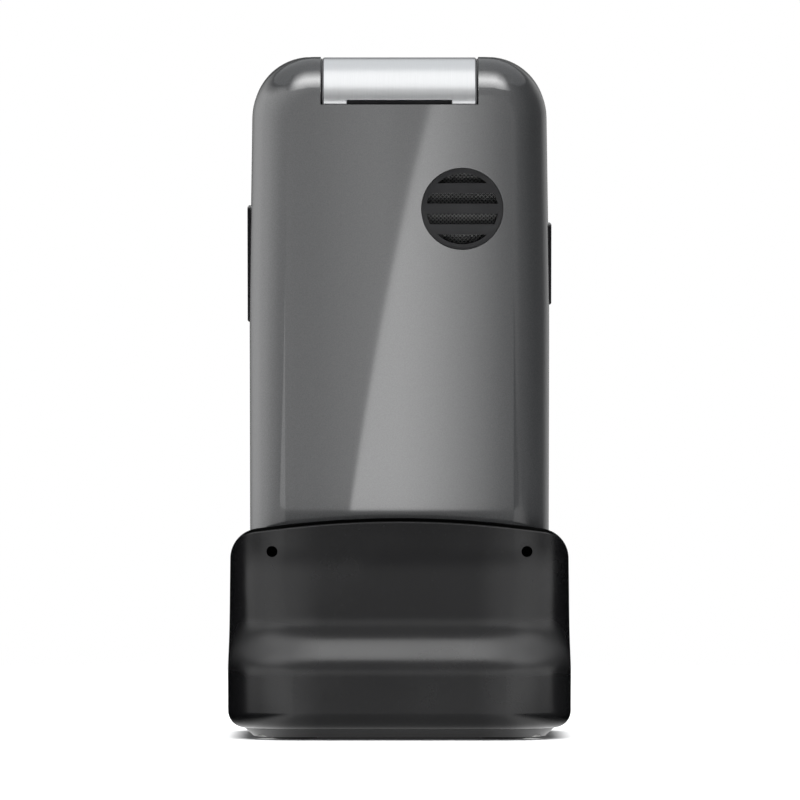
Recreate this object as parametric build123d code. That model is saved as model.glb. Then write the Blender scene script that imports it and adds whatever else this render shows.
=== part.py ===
"""A clamshell phone standing in its charging dock, built as separate pieces.

Row frame in millimetres: +Z up, the dock's footprint centred on the origin at z = 0. -Y is the side
of the phone's back cover, +Y the side of its lid. The phone is drawn upright in a frame of its own
(x across, y from the back face to the lid's face, z from its bottom end to its hinge end) and is then
leaned back into the dock by PHONE_PLACE.
"""

import os
from math import radians, sqrt, tan

from build123d import *

# Fits
RUNNING_CLEARANCE = 0.05
MOVING_GAP = 0.05
THREAD_GAP = 0.01

# Phone body
PHONE_WIDTH = 54.5
PHONE_LENGTH = 107.0
HALF_TOP_WIDTH = 26.5
TAPER_START = 62.0
TAPER_BLEND_R = 600.0
TOP_CORNER_R = 11.2
BOTTOM_CORNER_R = 8.0
DECK_Y = 10.4
DECK_CHAMFER = 0.4
LID_GAP = 0.6
LID_THICKNESS = 7.5
WALL = 1.3
LID_WALL = 1.2

# Hinge
KNUCKLE_R = 6.6
BARREL_WIDTH = 27.9
BARREL_GAP = 0.3
HINGE_MODULE_R = 3.0
HINGE_MODULE_LENGTH = 9.0
HINGE_SHAFT_R = 1.2
HINGE_HEX_FLATS = 4.2
HINGE_HEX_LENGTH = 5.0
HINGE_PIN_R = 1.5
HINGE_PIN_LENGTH = 10.0
HINGE_BUSH_LENGTH = 5.0
BARREL_SLOT_WIDTH = 19.1
BARREL_SLOT_HEIGHT = 1.0
BARREL_SLOT_DEPTH = 1.1
BARREL_SLOT_DROP = 1.3
BARREL_CHAMFER = 0.3

# Lid
LID_BOTTOM = 0.8
LID_TOP = 101.5
LID_TOP_CORNER_R = 9.0
LID_EDGE_R = 4.0
LID_SPLIT = 3.2
NECK_INSET = 0.7
NECK_DEPTH = 4.8
NECK_LENGTH = 8.0
MAIN_WINDOW_WIDTH = 45.0
MAIN_WINDOW_HEIGHT = 62.0
MAIN_WINDOW_THICKNESS = 0.8
MAIN_WINDOW_CENTRE_Z = 52.0
MAIN_WINDOW_CORNER_R = 2.0
DISPLAY_WIDTH = 42.0
DISPLAY_HEIGHT = 58.0
DISPLAY_THICKNESS = 1.8
OUTER_WINDOW_WIDTH = 36.0
OUTER_WINDOW_HEIGHT = 56.0
OUTER_WINDOW_THICKNESS = 0.8
OUTER_WINDOW_CENTRE_Z = 64.0
OUTER_WINDOW_CORNER_R = 5.0
OUTER_DISPLAY_WIDTH = 30.0
OUTER_DISPLAY_HEIGHT = 25.0
OUTER_DISPLAY_THICKNESS = 1.6
OUTER_DISPLAY_CENTRE_Z = 54.0
CAMERA_R = 3.4
CAMERA_LENS_R = 1.6
CAMERA_DEPTH = 4.8
CAMERA_PROUD = 0.2
CAMERA_Z = 83.0
FLASH_R = 1.2
FLASH_X = 8.0
EARPIECE_Z = 10.5
EARPIECE_WIDTH = 12.0
EARPIECE_HEIGHT = 5.0
EARPIECE_THICKNESS = 2.2
EARPIECE_SLOTS = 3
EARPIECE_SLOT_WIDTH = 9.0
EARPIECE_SLOT_HEIGHT = 0.6
BUMPER_R = 1.3
BUMPER_PLACES = ((18.0, 3.2), (22.5, 90.5))
BUMPER_SEAT = 0.5
BUMPER_GAP = 0.05
LID_SCREW_X = 20.5
LID_SCREW_BEYOND_WINDOW = 4.0
LID_BOSS_R = 2.4
LID_SCREW_SHANK = 3.6

# Keypad
KEY_WIDTH = 14.2
KEY_HEIGHT = 8.4
KEY_CORNER_R = 2.4
KEY_PITCH_X = 16.2
KEY_PITCH_Z = 10.4
KEY_ROW_Z = 10.0
KEY_PROUD = 0.3
KEY_GAP = 0.15
KEY_CHAMFER = 0.25
KEY_FLANGE = 0.5
KEY_FLANGE_THICKNESS = 0.6
KEY_TRAVEL = 0.3
SIDE_KEY_COLUMN_X = 18.2
SIDE_KEY_COLUMN_WIDTH = 11.0
SIDE_KEY_COLUMN_HEIGHT = 9.2
CALL_ROW_Z = 55.5
SOFT_ROW_Z = 76.5
NAV_Z = 66.0
NAV_R = 11.6
OK_R = 5.2
NAV_SKIRT_R = 7.0

# Keys on the phone's sides
ROCKER_LENGTH = 21.2
SIDE_KEY_LENGTH = 14.9
SIDE_KEYS_Z = 69.3
SIDE_KEY_DEPTH = 2.8
SIDE_KEY_PROUD = 0.5
SIDE_KEY_FLANGE = 0.6
SIDE_KEY_FLANGE_THICKNESS = 0.5
SIDE_KEY_CENTRE_Y = 8.2
SIDE_KEY_CORNER_R = 0.8
ROCKER_SWING = 0.45

# Loudspeaker grille in the back cover
GRILLE_X = 11.35
GRILLE_Z = 79.9
GRILLE_R = 7.4
GRILLE_INNER_R = 6.45
GRILLE_SLOT_HEIGHT = 1.9
GRILLE_SLOT_PITCH = 3.72
GRILLE_SLOTS = 4
GRILLE_SINK = 0.2
GRILLE_GAP = 0.05
MESH_THICKNESS = 0.25
LOUDSPEAKER_R = 6.6
LOUDSPEAKER_DEPTH = 3.4

# Parts inside the phone
BATTERY_WIDTH = 34.0
BATTERY_LENGTH = 53.0
BATTERY_THICKNESS = 5.5
BATTERY_CENTRE_Z = 37.0
BATTERY_CORNER_R = 2.0
BOARD_THICKNESS = 0.8
BOARD_WIDTH = 48.0
BOARD_LOW_Z = 1.6
BOARD_HIGH_Z = 91.0
BOARD_CORNER_R = 5.0
DOME_SHEET_THICKNESS = 0.15
DOME_R = 2.2
DOME_HEIGHT = 0.15
MOTOR_R = 4.0
MOTOR_THICKNESS = 2.8
MOTOR_X = -15.0
MOTOR_Z = 80.0
SOCKET_WIDTH = 7.6
SOCKET_HEIGHT = 2.9
SOCKET_DEPTH = 5.2
SOCKET_SHELL = 0.35
SOCKET_CORNER_R = 0.5
SOCKET_CLEARANCE = 0.25
SOCKET_TONGUE_WIDTH = 4.6
SOCKET_TONGUE_THICKNESS = 0.7
PAD_WIDTH = 3.6
PAD_DEPTH = 2.4
PAD_THICKNESS = 0.5
PAD_X = 8.5
SCREW_HEAD_R = 1.5
SCREW_HEAD_HEIGHT = 0.9
SCREW_SHANK_R = 0.8
BASE_SCREW_PLACES = ((14.5, 3.4), (20.0, 48.2), (20.0, 87.0))
BASE_BOSS_R = 1.7
BASE_SCREW_SHANK = 1.9

# Dock
LEAN = 6.0
PHONE_REAR_Y = -10.5
PHONE_FLOOR_Z = 16.46
POCKET_CLEARANCE = 0.35
POCKET_FLOOR_GAP = 0.1
DOCK_HALF_WIDTH = 31.2
DOCK_DRAFT = 0.0155
DOCK_HALF_DEPTH = 22.0
DOCK_BOTTOM_Z = 1.9
DOCK_BOTTOM_R = 3.0
DOCK_PLAN_R = 12.0
DOCK_WALL_PLAN_R = 10.0
DOCK_STEP_Z = 12.4
DOCK_STEP_RISE = 15.0
DOCK_STEP_POWER = 5.0
DOCK_STEP_SECTIONS = 8
DOCK_REAR_WALL = 3.2
DOCK_TOP_Z = 40.0
DOCK_ARCH_R = 178.0
DOCK_SHOULDER_R = 5.8
DOCK_ARCH_MARGIN = 0.03
DOCK_RIM_R = 0.8
DOCK_FRONT_TOP_Z = 16.4
DOCK_FRONT_TOP_Y = 14.0
DOCK_SEAT_FRONT = 10.6
DOCK_SIDE_TOP_Y = 4.5
DOCK_SIDE_TOP_Z = 21.5
DOCK_SIDE_BLEND_R = 6.0
DOCK_CAVITY_WALL = 5.4
DOCK_CAVITY_TOP_Z = 11.0
DOCK_CAVITY_CORNER_R = 8.0
REAR_HOLE_X = 23.1
REAR_HOLE_Z = 33.95
REAR_HOLE_R = 1.0
REAR_HOLE_DEPTH = 1.6
PLATE_BOTTOM_Z = 0.4
PLATE_FLARE = 1.6
PLATE_LIP = 1.2
FOOT_R = 4.0
FOOT_THICKNESS = 1.0
FOOT_INSET_X = 6.8
FOOT_INSET_Y = 6.1
BOSS_R = 2.6
BOSS_INSET_X = 1.8
BOSS_INSET_Y = 2.6
DOCK_SCREW_SHANK = 5.0
BALLAST_THICKNESS = 3.0
BALLAST_MARGIN_X = 8.8
BALLAST_MARGIN_Y = 7.6
DOCK_BOARD_THICKNESS = 1.2
DOCK_BOARD_WIDTH = 30.0
DOCK_BOARD_DEPTH = 12.0
PIN_R = 0.8
PIN_FLANGE_R = 1.3
PIN_FLANGE_THICKNESS = 0.6
PIN_FLANGE_DROP = 2.2
PIN_LENGTH = 8.0
PIN_GAP = 0.02
PIN_BLOCK_WIDTH = 24.0
PIN_BLOCK_DEPTH = 5.0
PIN_BLOCK_DROP = 9.0
DOCK_SOCKET_Y = 5.0
DOCK_SOCKET_Z = 7.0
DOCK_SOCKET_SINK = 0.6
LIGHT_WIDTH = 6.0
LIGHT_HEIGHT = 1.2
LIGHT_DEPTH = 2.0
LIGHT_Z = 9.0

# Places that follow from the sizes above
HINGE_Y = KNUCKLE_R
HINGE_Z = PHONE_LENGTH - KNUCKLE_R
HALF_WIDTH = PHONE_WIDTH / 2
LID_INNER_Y = DECK_Y + LID_GAP
LID_OUTER_Y = LID_INNER_Y + LID_THICKNESS
LID_SPLIT_Y = LID_INNER_Y + LID_SPLIT
BARREL_R = KNUCKLE_R - BARREL_GAP / 3
CHANNEL_R = BARREL_R + BARREL_GAP
CHANNEL_HALF_WIDTH = BARREL_WIDTH / 2 + BARREL_GAP
LID_CLEAR_R = KNUCKLE_R + BARREL_GAP
DECK_BACK_Y = DECK_Y - WALL
KEY_BACK_Y = DECK_BACK_Y - KEY_FLANGE_THICKNESS
DOME_TOP_Y = KEY_BACK_Y - KEY_TRAVEL
BOARD_Y = DOME_TOP_Y - DOME_HEIGHT - DOME_SHEET_THICKNESS
LID_SCREW_REACH = MAIN_WINDOW_HEIGHT / 2 + LID_SCREW_BEYOND_WINDOW
LID_SCREW_PLACES = ((LID_SCREW_X, MAIN_WINDOW_CENTRE_Z - LID_SCREW_REACH),
                    (LID_SCREW_X, MAIN_WINDOW_CENTRE_Z + LID_SCREW_REACH))
CAVITY_HALF_WIDTH = DOCK_HALF_WIDTH - DOCK_CAVITY_WALL
CAVITY_HALF_DEPTH = DOCK_HALF_DEPTH - DOCK_CAVITY_WALL
BOSS_X = CAVITY_HALF_WIDTH - BOSS_INSET_X
BOSS_Y = CAVITY_HALF_DEPTH - BOSS_INSET_Y
FOOT_X = CAVITY_HALF_WIDTH - FOOT_INSET_X
FOOT_Y = CAVITY_HALF_DEPTH - FOOT_INSET_Y
BALLAST_WIDTH = 2 * (CAVITY_HALF_WIDTH - BALLAST_MARGIN_X)
BALLAST_DEPTH = 2 * (CAVITY_HALF_DEPTH - BALLAST_MARGIN_Y)
DOCK_SCREW_SEAT = PLATE_BOTTOM_Z + SCREW_HEAD_HEIGHT
PIN_Y = SIDE_KEY_CENTRE_Y
PHONE_PLACE = Pos(0, PHONE_REAR_Y, PHONE_FLOOR_Z) * Rot(LEAN, 0, 0)


def save(node, shape, place=Pos(0, 0, 0)):
    """Writes one sub-part, at its place in the row frame."""
    export_step(place * shape, f"parts/{node}.step")


def across(face, y_from, y_to):
    """Extrudes a face drawn in x and z from one depth to another."""
    return extrude(Plane.XZ.offset(-y_to) * face, amount=y_to - y_from)


def sideways(face, x_from, x_to):
    """Extrudes a face drawn in y and z from one side to the other."""
    return extrude(Plane.YZ.offset(x_from) * face, amount=x_to - x_from)


def block(x_from, x_to, y_from, y_to, z_from, z_to):
    """A box between two corners."""
    size = (x_to - x_from, y_to - y_from, z_to - z_from)
    middle = ((x_to + x_from) / 2, (y_to + y_from) / 2, (z_to + z_from) / 2)
    return Pos(*middle) * Box(*size)


def hinge_rod(radius, x_from, x_to):
    """A round bar on the hinge axis."""
    return sideways(Pos(HINGE_Y, HINGE_Z) * Circle(radius), x_from, x_to)


def round_bar(radius, x, z, y_from, y_to):
    """A round bar that points through the phone's thickness."""
    return across(Pos(x, z) * Circle(radius), y_from, y_to)


def edges_at_depth(solid, y):
    """The edges of a solid that lie at one depth."""
    return solid.edges().filter_by_position(Axis.Y, y - RUNNING_CLEARANCE, y + RUNNING_CLEARANCE)


# Phone body

def half_width_at(z):
    """Half of the phone's width at one height above the start of its taper."""
    return HALF_WIDTH - (HALF_WIDTH - HALF_TOP_WIDTH) * (z - TAPER_START) / (PHONE_LENGTH - TAPER_START)


def phone_outline(inset=0.0, bottom=0.0, top=PHONE_LENGTH, top_corner=TOP_CORNER_R):
    """The phone seen from behind: a tall rounded oblong that narrows a little towards its hinge."""
    half_top = half_width_at(top)
    corners = Polyline(
        (-HALF_WIDTH, bottom), (HALF_WIDTH, bottom), (HALF_WIDTH, TAPER_START), (half_top, top),
        (-half_top, top), (-HALF_WIDTH, TAPER_START), close=True)
    face = make_face(corners)
    face = fillet(face.vertices().group_by(Axis.Y)[0], BOTTOM_CORNER_R)
    face = fillet(face.vertices().group_by(Axis.Y)[-1], top_corner)
    middle = [v for v in face.vertices() if abs(v.Y - TAPER_START) < 1e-6]
    face = fillet(middle, TAPER_BLEND_R)
    return offset(face, amount=-inset) if inset else face


def back_body(inset=0.0):
    """The rear half of the base, whose edges are rounded about the hinge axis."""
    slab = across(phone_outline(inset), inset, HINGE_Y)
    return fillet(edges_at_depth(slab, inset), KNUCKLE_R - inset - RUNNING_CLEARANCE)


def front_body(inset=0.0):
    """The keypad half of the base, with a knuckle at the hinge end that stands proud of the deck."""
    outline = phone_outline(inset)
    deck = across(outline, HINGE_Y, DECK_Y - inset)
    if not inset:
        deck = chamfer(edges_at_depth(deck, DECK_Y), DECK_CHAMFER)
    below_hinge = block(-HALF_WIDTH, HALF_WIDTH, 0, LID_OUTER_Y, 0, HINGE_Z)
    knuckle = hinge_rod(KNUCKLE_R - inset - RUNNING_CLEARANCE, -HALF_WIDTH, HALF_WIDTH)
    knuckle &= across(outline, HINGE_Y, LID_OUTER_Y)
    return (deck & below_hinge) + knuckle


def base_shell(body, inner):
    """A cover's wall, lined where the lid's barrel turns and closed at the inner ends of the knuckles."""
    lining = body & hinge_rod(CHANNEL_R + WALL, -CHANNEL_HALF_WIDTH - WALL, CHANNEL_HALF_WIDTH + WALL)
    return (body - inner) + lining - hinge_rod(CHANNEL_R, -CHANNEL_HALF_WIDTH, CHANNEL_HALF_WIDTH)


def back_cover():
    """The cover that the photograph shows, with the hole that the loudspeaker's grille sits in."""
    cover = base_shell(back_body(), back_body(WALL))
    cover -= round_bar(GRILLE_R + GRILLE_GAP, GRILLE_X, GRILLE_Z, -WALL, 2 * WALL)
    return cover - socket_space() - hinge_bores()


def hinge_bores():
    """The holes in the knuckles' inner walls that the hinge module and the bush sit in."""
    reach = CHANNEL_HALF_WIDTH + HINGE_MODULE_LENGTH + MOVING_GAP
    return hinge_rod(HINGE_MODULE_R + MOVING_GAP, -reach, reach)


def key_outline(width, height, grow=0.0):
    """A key's rounded oblong, grown for its hole or its flange."""
    return RectangleRounded(width + 2 * grow, height + 2 * grow, KEY_CORNER_R + grow)


def oblong_keys():
    """Each oblong key's name, with its width, height and centre. A user of the keypad has +X on the left."""
    keys = {}
    names = ["key_star", "key_0", "key_hash"] + [f"key_{n}" for n in (7, 8, 9, 4, 5, 6, 1, 2, 3)]
    for place, name in enumerate(names):
        row, column = divmod(place, 3)
        centre = ((1 - column) * KEY_PITCH_X, KEY_ROW_Z + row * KEY_PITCH_Z)
        keys[name] = (KEY_WIDTH, KEY_HEIGHT, centre)
    for name, side, height in (("key_call", -1, CALL_ROW_Z), ("key_end", 1, CALL_ROW_Z),
                               ("key_soft_left", -1, SOFT_ROW_Z), ("key_soft_right", 1, SOFT_ROW_Z)):
        centre = (-side * SIDE_KEY_COLUMN_X, height)
        keys[name] = (SIDE_KEY_COLUMN_WIDTH, SIDE_KEY_COLUMN_HEIGHT, centre)
    return keys


def front_cover():
    """The keypad deck with its key holes, the holes for the side keys, and the bosses for the screws."""
    cover = base_shell(front_body(), front_body(WALL))
    for width, height, centre in oblong_keys().values():
        hole = key_outline(width, height, KEY_GAP)
        cover -= across(Pos(*centre) * hole, DECK_BACK_Y - MOVING_GAP, LID_OUTER_Y)
    cover -= round_bar(NAV_R + KEY_GAP, 0, NAV_Z, DECK_BACK_Y - MOVING_GAP, LID_OUTER_Y)
    for side, length in ((-1, ROCKER_LENGTH), (1, SIDE_KEY_LENGTH)):
        cover -= side_key_bar(side, length, HALF_WIDTH - 2 * WALL, HALF_WIDTH + WALL, KEY_GAP)
    for x, z in base_screw_places():
        cover += round_bar(BASE_BOSS_R, x, z, BOARD_Y, DECK_BACK_Y)
        cover -= round_bar(SCREW_SHANK_R, x, z, BOARD_Y, BOARD_Y + BASE_SCREW_SHANK - BOARD_THICKNESS)
    cover -= socket_space()
    for x in (-PAD_X, PAD_X):
        cover -= pad(x)
    return cover - hinge_bores()


def key(width, height, centre):
    """A key cap with the flange that keeps it behind the deck."""
    cap = across(key_outline(width, height), KEY_BACK_Y, DECK_Y + KEY_PROUD)
    cap = chamfer(edges_at_depth(cap, DECK_Y + KEY_PROUD), KEY_CHAMFER)
    flange = across(key_outline(width, height, KEY_FLANGE), KEY_BACK_Y, DECK_BACK_Y - MOVING_GAP)
    return Pos(centre[0], 0, centre[1]) * (cap + flange)


def nav_ring():
    """The ring key, which rocks on its skirt, so that its flange is thin and stays clear of the deck."""
    thin = KEY_FLANGE_THICKNESS / 2
    ring = round_bar(NAV_R, 0, NAV_Z, KEY_BACK_Y + thin, DECK_Y + KEY_PROUD)
    ring = chamfer(edges_at_depth(ring, DECK_Y + KEY_PROUD), KEY_CHAMFER)
    ring += round_bar(NAV_R + KEY_FLANGE, 0, NAV_Z, KEY_BACK_Y, KEY_BACK_Y + thin)
    ring -= round_bar(NAV_SKIRT_R, 0, NAV_Z, KEY_BACK_Y, DECK_BACK_Y)
    return ring - round_bar(OK_R + 2 * KEY_GAP, 0, NAV_Z, KEY_BACK_Y, LID_OUTER_Y)


def ok_key():
    """The round key in the middle of the ring."""
    cap = round_bar(OK_R, 0, NAV_Z, KEY_BACK_Y, DECK_Y + KEY_PROUD)
    cap = chamfer(edges_at_depth(cap, DECK_Y + KEY_PROUD), KEY_CHAMFER)
    flange_front = KEY_BACK_Y + KEY_FLANGE_THICKNESS / 2
    return cap + round_bar(OK_R + 2 * KEY_FLANGE, 0, NAV_Z, KEY_BACK_Y, flange_front)


def side_key_bar(side, length, x_from, x_to, grow=0.0):
    """A bar through a side wall in the outline of its key. side is -1 on the left, 1 on the right."""
    outline = RectangleRounded(SIDE_KEY_DEPTH + 2 * grow, length + 2 * grow, SIDE_KEY_CORNER_R + grow)
    low, high = sorted((side * x_from, side * x_to))
    return sideways(Pos(SIDE_KEY_CENTRE_Y, SIDE_KEYS_Z) * outline, low, high)


def side_key(side, length, swing):
    """A side key with a flange inside the wall. swing is the room that its flange has to move outwards."""
    half_length = length / 2 + SIDE_KEY_FLANGE
    flange_outside = half_width_at(SIDE_KEYS_Z + half_length) - WALL - swing
    flange_inside = flange_outside - SIDE_KEY_FLANGE_THICKNESS
    bar = side_key_bar(side, length, flange_outside, half_width_at(SIDE_KEYS_Z) + SIDE_KEY_PROUD)
    ends = bar.edges().group_by(Axis.X)
    bar = chamfer(ends[-1] if side > 0 else ends[0], KEY_CHAMFER)
    low, high = sorted((side * flange_inside, side * flange_outside))
    return bar + block(low, high, SIDE_KEY_CENTRE_Y - SIDE_KEY_DEPTH / 2, DECK_BACK_Y - MOVING_GAP,
                       SIDE_KEYS_Z - half_length, SIDE_KEYS_Z + half_length)


# Parts of the base

def grille_slots():
    """The bars of open space across the grille, each bounded by the ring round them."""
    slots = Sketch()
    first = GRILLE_Z - GRILLE_SLOT_PITCH * (GRILLE_SLOTS - 1) / 2
    for n in range(GRILLE_SLOTS):
        slots += Pos(GRILLE_X, first + n * GRILLE_SLOT_PITCH) * Rectangle(2 * GRILLE_R, GRILLE_SLOT_HEIGHT)
    return slots & (Pos(GRILLE_X, GRILLE_Z) * Circle(GRILLE_INNER_R))


def speaker_grille():
    """The round grille, a little sunk in the back cover, with a flange behind its wall."""
    disc = round_bar(GRILLE_R, GRILLE_X, GRILLE_Z, GRILLE_SINK, WALL)
    flange = round_bar(GRILLE_R + WALL, GRILLE_X, GRILLE_Z, WALL, WALL + MESH_THICKNESS)
    grille = disc + flange
    grille -= round_bar(GRILLE_INNER_R + GRILLE_SINK, GRILLE_X, GRILLE_Z, WALL, 2 * WALL)
    return grille - across(grille_slots(), -WALL, 2 * WALL)


def speaker_mesh():
    """The fine mesh behind the grille's slots, as a plain disc."""
    radius = GRILLE_INNER_R + GRILLE_SINK - GRILLE_GAP
    return round_bar(radius, GRILLE_X, GRILLE_Z, WALL, WALL + MESH_THICKNESS)


def loudspeaker():
    """The driver behind the mesh, with a stepped frame."""
    front = WALL + MESH_THICKNESS
    frame = round_bar(LOUDSPEAKER_R, GRILLE_X, GRILLE_Z, front, front + LOUDSPEAKER_DEPTH / 2)
    magnet = round_bar(LOUDSPEAKER_R * 0.7, GRILLE_X, GRILLE_Z, front, front + LOUDSPEAKER_DEPTH)
    return frame + magnet


def battery():
    """The flat battery behind the board."""
    outline = Pos(0, BATTERY_CENTRE_Z) * RectangleRounded(BATTERY_WIDTH, BATTERY_LENGTH, BATTERY_CORNER_R)
    return across(outline, WALL, WALL + BATTERY_THICKNESS)


def base_screw_places():
    """The screws' places, across and up, in pairs."""
    return [(side * x, z) for x, z in BASE_SCREW_PLACES for side in (-1, 1)]


def main_board():
    """The circuit board, which reaches from the socket to the hinge."""
    length = BOARD_HIGH_Z - BOARD_LOW_Z
    outline = Pos(0, BOARD_LOW_Z + length / 2) * RectangleRounded(BOARD_WIDTH, length, BOARD_CORNER_R)
    board = across(outline, BOARD_Y - BOARD_THICKNESS, BOARD_Y)
    for x, z in base_screw_places():
        board -= round_bar(SCREW_SHANK_R + MOVING_GAP, x, z, 0, DECK_Y)
    return board - socket_space()


def base_screws():
    """The four screws that hold the board and the deck together, as separate solids."""
    back = BOARD_Y - BOARD_THICKNESS
    screws = Part()
    for x, z in base_screw_places():
        screws += round_bar(SCREW_HEAD_R, x, z, back - SCREW_HEAD_HEIGHT, back)
        screws += round_bar(SCREW_SHANK_R - THREAD_GAP, x, z, back, back + BASE_SCREW_SHANK)
    return screws


def dome_sheet():
    """The sheet on the board with one snap dome under each key."""
    places = [centre for _, _, centre in oblong_keys().values()] + [(0, NAV_Z)]
    reach = (NAV_R + NAV_SKIRT_R) / 2
    places += [(-reach, NAV_Z), (reach, NAV_Z), (0, NAV_Z - reach), (0, NAV_Z + reach)]
    low = KEY_ROW_Z + KEY_HEIGHT / 2 - DOME_R * 2
    high = SOFT_ROW_Z + SIDE_KEY_COLUMN_HEIGHT / 2
    holes = KEY_PITCH_X + KEY_WIDTH / 2 - BASE_BOSS_R
    sheet = block(-holes, holes, BOARD_Y, BOARD_Y + DOME_SHEET_THICKNESS, low, high)
    for x, z in base_screw_places():
        sheet -= round_bar(BASE_BOSS_R + MOVING_GAP, x, z, 0, DECK_Y)
    for x, z in places:
        top = BOARD_Y + DOME_SHEET_THICKNESS
        sheet += round_bar(DOME_R, x, z, top - DOME_SHEET_THICKNESS / 2, top + DOME_HEIGHT - MOVING_GAP / 2)
    return sheet


def socket_space():
    """The opening in the phone's bottom end for its own power socket."""
    outline = RectangleRounded(SOCKET_WIDTH + 2 * SOCKET_CLEARANCE, SOCKET_HEIGHT + 2 * SOCKET_CLEARANCE,
                               SOCKET_CORNER_R + SOCKET_CLEARANCE)
    return Pos(0, HINGE_Y, -WALL) * extrude(outline, amount=SOCKET_DEPTH + 2 * WALL)


def power_socket():
    """A power socket: a metal shell, open below at z = 0, with a tongue in it."""
    body = extrude(RectangleRounded(SOCKET_WIDTH, SOCKET_HEIGHT, SOCKET_CORNER_R), amount=SOCKET_DEPTH)
    inside = RectangleRounded(SOCKET_WIDTH - 2 * SOCKET_SHELL, SOCKET_HEIGHT - 2 * SOCKET_SHELL,
                              SOCKET_CORNER_R - SOCKET_SHELL)
    body -= extrude(inside, amount=SOCKET_DEPTH - SOCKET_SHELL * 2)
    tongue = Pos(0, 0, SOCKET_SHELL) * extrude(Rectangle(SOCKET_TONGUE_WIDTH, SOCKET_TONGUE_THICKNESS),
                                               amount=SOCKET_DEPTH - SOCKET_SHELL * 2)
    return body + tongue


def pad(x):
    """One charging pad, flush with the phone's bottom end."""
    half_width, half_depth = PAD_WIDTH / 2, PAD_DEPTH / 2
    return block(x - half_width, x + half_width, SIDE_KEY_CENTRE_Y - half_depth,
                 SIDE_KEY_CENTRE_Y + half_depth, 0, PAD_THICKNESS)


def vibration_motor():
    """The coin-shaped motor that shakes the phone."""
    return round_bar(MOTOR_R, MOTOR_X, MOTOR_Z, WALL, WALL + MOTOR_THICKNESS)


def hinge_module():
    """The sprung cam unit in the left knuckle, bored for the lid's shaft."""
    inner = -CHANNEL_HALF_WIDTH
    unit = hinge_rod(HINGE_MODULE_R, inner - HINGE_MODULE_LENGTH, inner)
    return unit - hinge_rod(HINGE_SHAFT_R + RUNNING_CLEARANCE, inner - HINGE_MODULE_LENGTH / 2, inner)


def hinge_bush():
    """The bush in the right knuckle that the lid's pin turns in."""
    inner = CHANNEL_HALF_WIDTH
    bush = hinge_rod(HINGE_MODULE_R, inner, inner + HINGE_BUSH_LENGTH)
    return bush - hinge_rod(HINGE_PIN_R + RUNNING_CLEARANCE, inner, inner + HINGE_BUSH_LENGTH)


# Lid

def lid_body(inset=0.0):
    """The closed lid as one solid, rounded on its outer face and cleared round the knuckles."""
    outline = phone_outline(inset, LID_BOTTOM, LID_TOP, LID_TOP_CORNER_R)
    body = across(outline, LID_INNER_Y + inset, LID_OUTER_Y - inset)
    body = fillet(edges_at_depth(body, LID_OUTER_Y - inset), LID_EDGE_R - inset)
    return body - hinge_rod(LID_CLEAR_R + inset, -PHONE_WIDTH, PHONE_WIDTH)


def neck():
    """The block that joins the hinge barrel to the lid, held between the lid's covers."""
    rear = LID_INNER_Y + NECK_INSET
    half_width = BARREL_WIDTH / 2
    return block(-half_width, half_width, rear, rear + NECK_DEPTH, HINGE_Z - NECK_LENGTH, HINGE_Z)


def panel(width, height, corner, centre_z, y_from, y_to, grow=0.0):
    """A flat rounded oblong on the middle line, such as a window or a display."""
    outline = RectangleRounded(width + 2 * grow, height + 2 * grow, corner + grow)
    return across(Pos(0, centre_z) * outline, y_from, y_to)


def main_window(grow=0.0):
    """The clear window over the main display, flush with the lid's inner face."""
    return panel(MAIN_WINDOW_WIDTH, MAIN_WINDOW_HEIGHT, MAIN_WINDOW_CORNER_R, MAIN_WINDOW_CENTRE_Z,
                 LID_INNER_Y, LID_INNER_Y + MAIN_WINDOW_THICKNESS, grow)


def main_display(grow=0.0):
    """The main display, stood behind its window."""
    front = LID_INNER_Y + MAIN_WINDOW_THICKNESS
    return panel(DISPLAY_WIDTH, DISPLAY_HEIGHT, LID_WALL, MAIN_WINDOW_CENTRE_Z,
                 front, front + DISPLAY_THICKNESS, grow)


def outer_window(grow=0.0):
    """The clear window on the outside of the lid, with a hole for the camera and one for its light."""
    window = panel(OUTER_WINDOW_WIDTH, OUTER_WINDOW_HEIGHT, OUTER_WINDOW_CORNER_R, OUTER_WINDOW_CENTRE_Z,
                   LID_OUTER_Y - OUTER_WINDOW_THICKNESS, LID_OUTER_Y, grow)
    if grow:
        return window
    window -= round_bar(CAMERA_R + MOVING_GAP, 0, CAMERA_Z, LID_INNER_Y, LID_OUTER_Y)
    return window - round_bar(FLASH_R + MOVING_GAP, FLASH_X, CAMERA_Z, LID_INNER_Y, LID_OUTER_Y)


def outer_display(grow=0.0):
    """The small display behind the outer window."""
    front = LID_OUTER_Y - OUTER_WINDOW_THICKNESS
    return panel(OUTER_DISPLAY_WIDTH, OUTER_DISPLAY_HEIGHT, LID_WALL, OUTER_DISPLAY_CENTRE_Z,
                 front - OUTER_DISPLAY_THICKNESS, front, grow)


def earpiece(grow=0.0):
    """The slotted earpiece near the open phone's top end."""
    body = panel(EARPIECE_WIDTH, EARPIECE_HEIGHT, LID_WALL, EARPIECE_Z,
                 LID_INNER_Y, LID_INNER_Y + EARPIECE_THICKNESS, grow)
    pitch = EARPIECE_HEIGHT / (EARPIECE_SLOTS + 1)
    for n in range(EARPIECE_SLOTS):
        if not grow:
            centre = EARPIECE_Z + (n - (EARPIECE_SLOTS - 1) / 2) * pitch
            slot = Pos(0, centre) * Rectangle(EARPIECE_SLOT_WIDTH, EARPIECE_SLOT_HEIGHT)
            body -= across(slot, LID_INNER_Y, LID_INNER_Y + EARPIECE_THICKNESS / 2)
    return body


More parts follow.
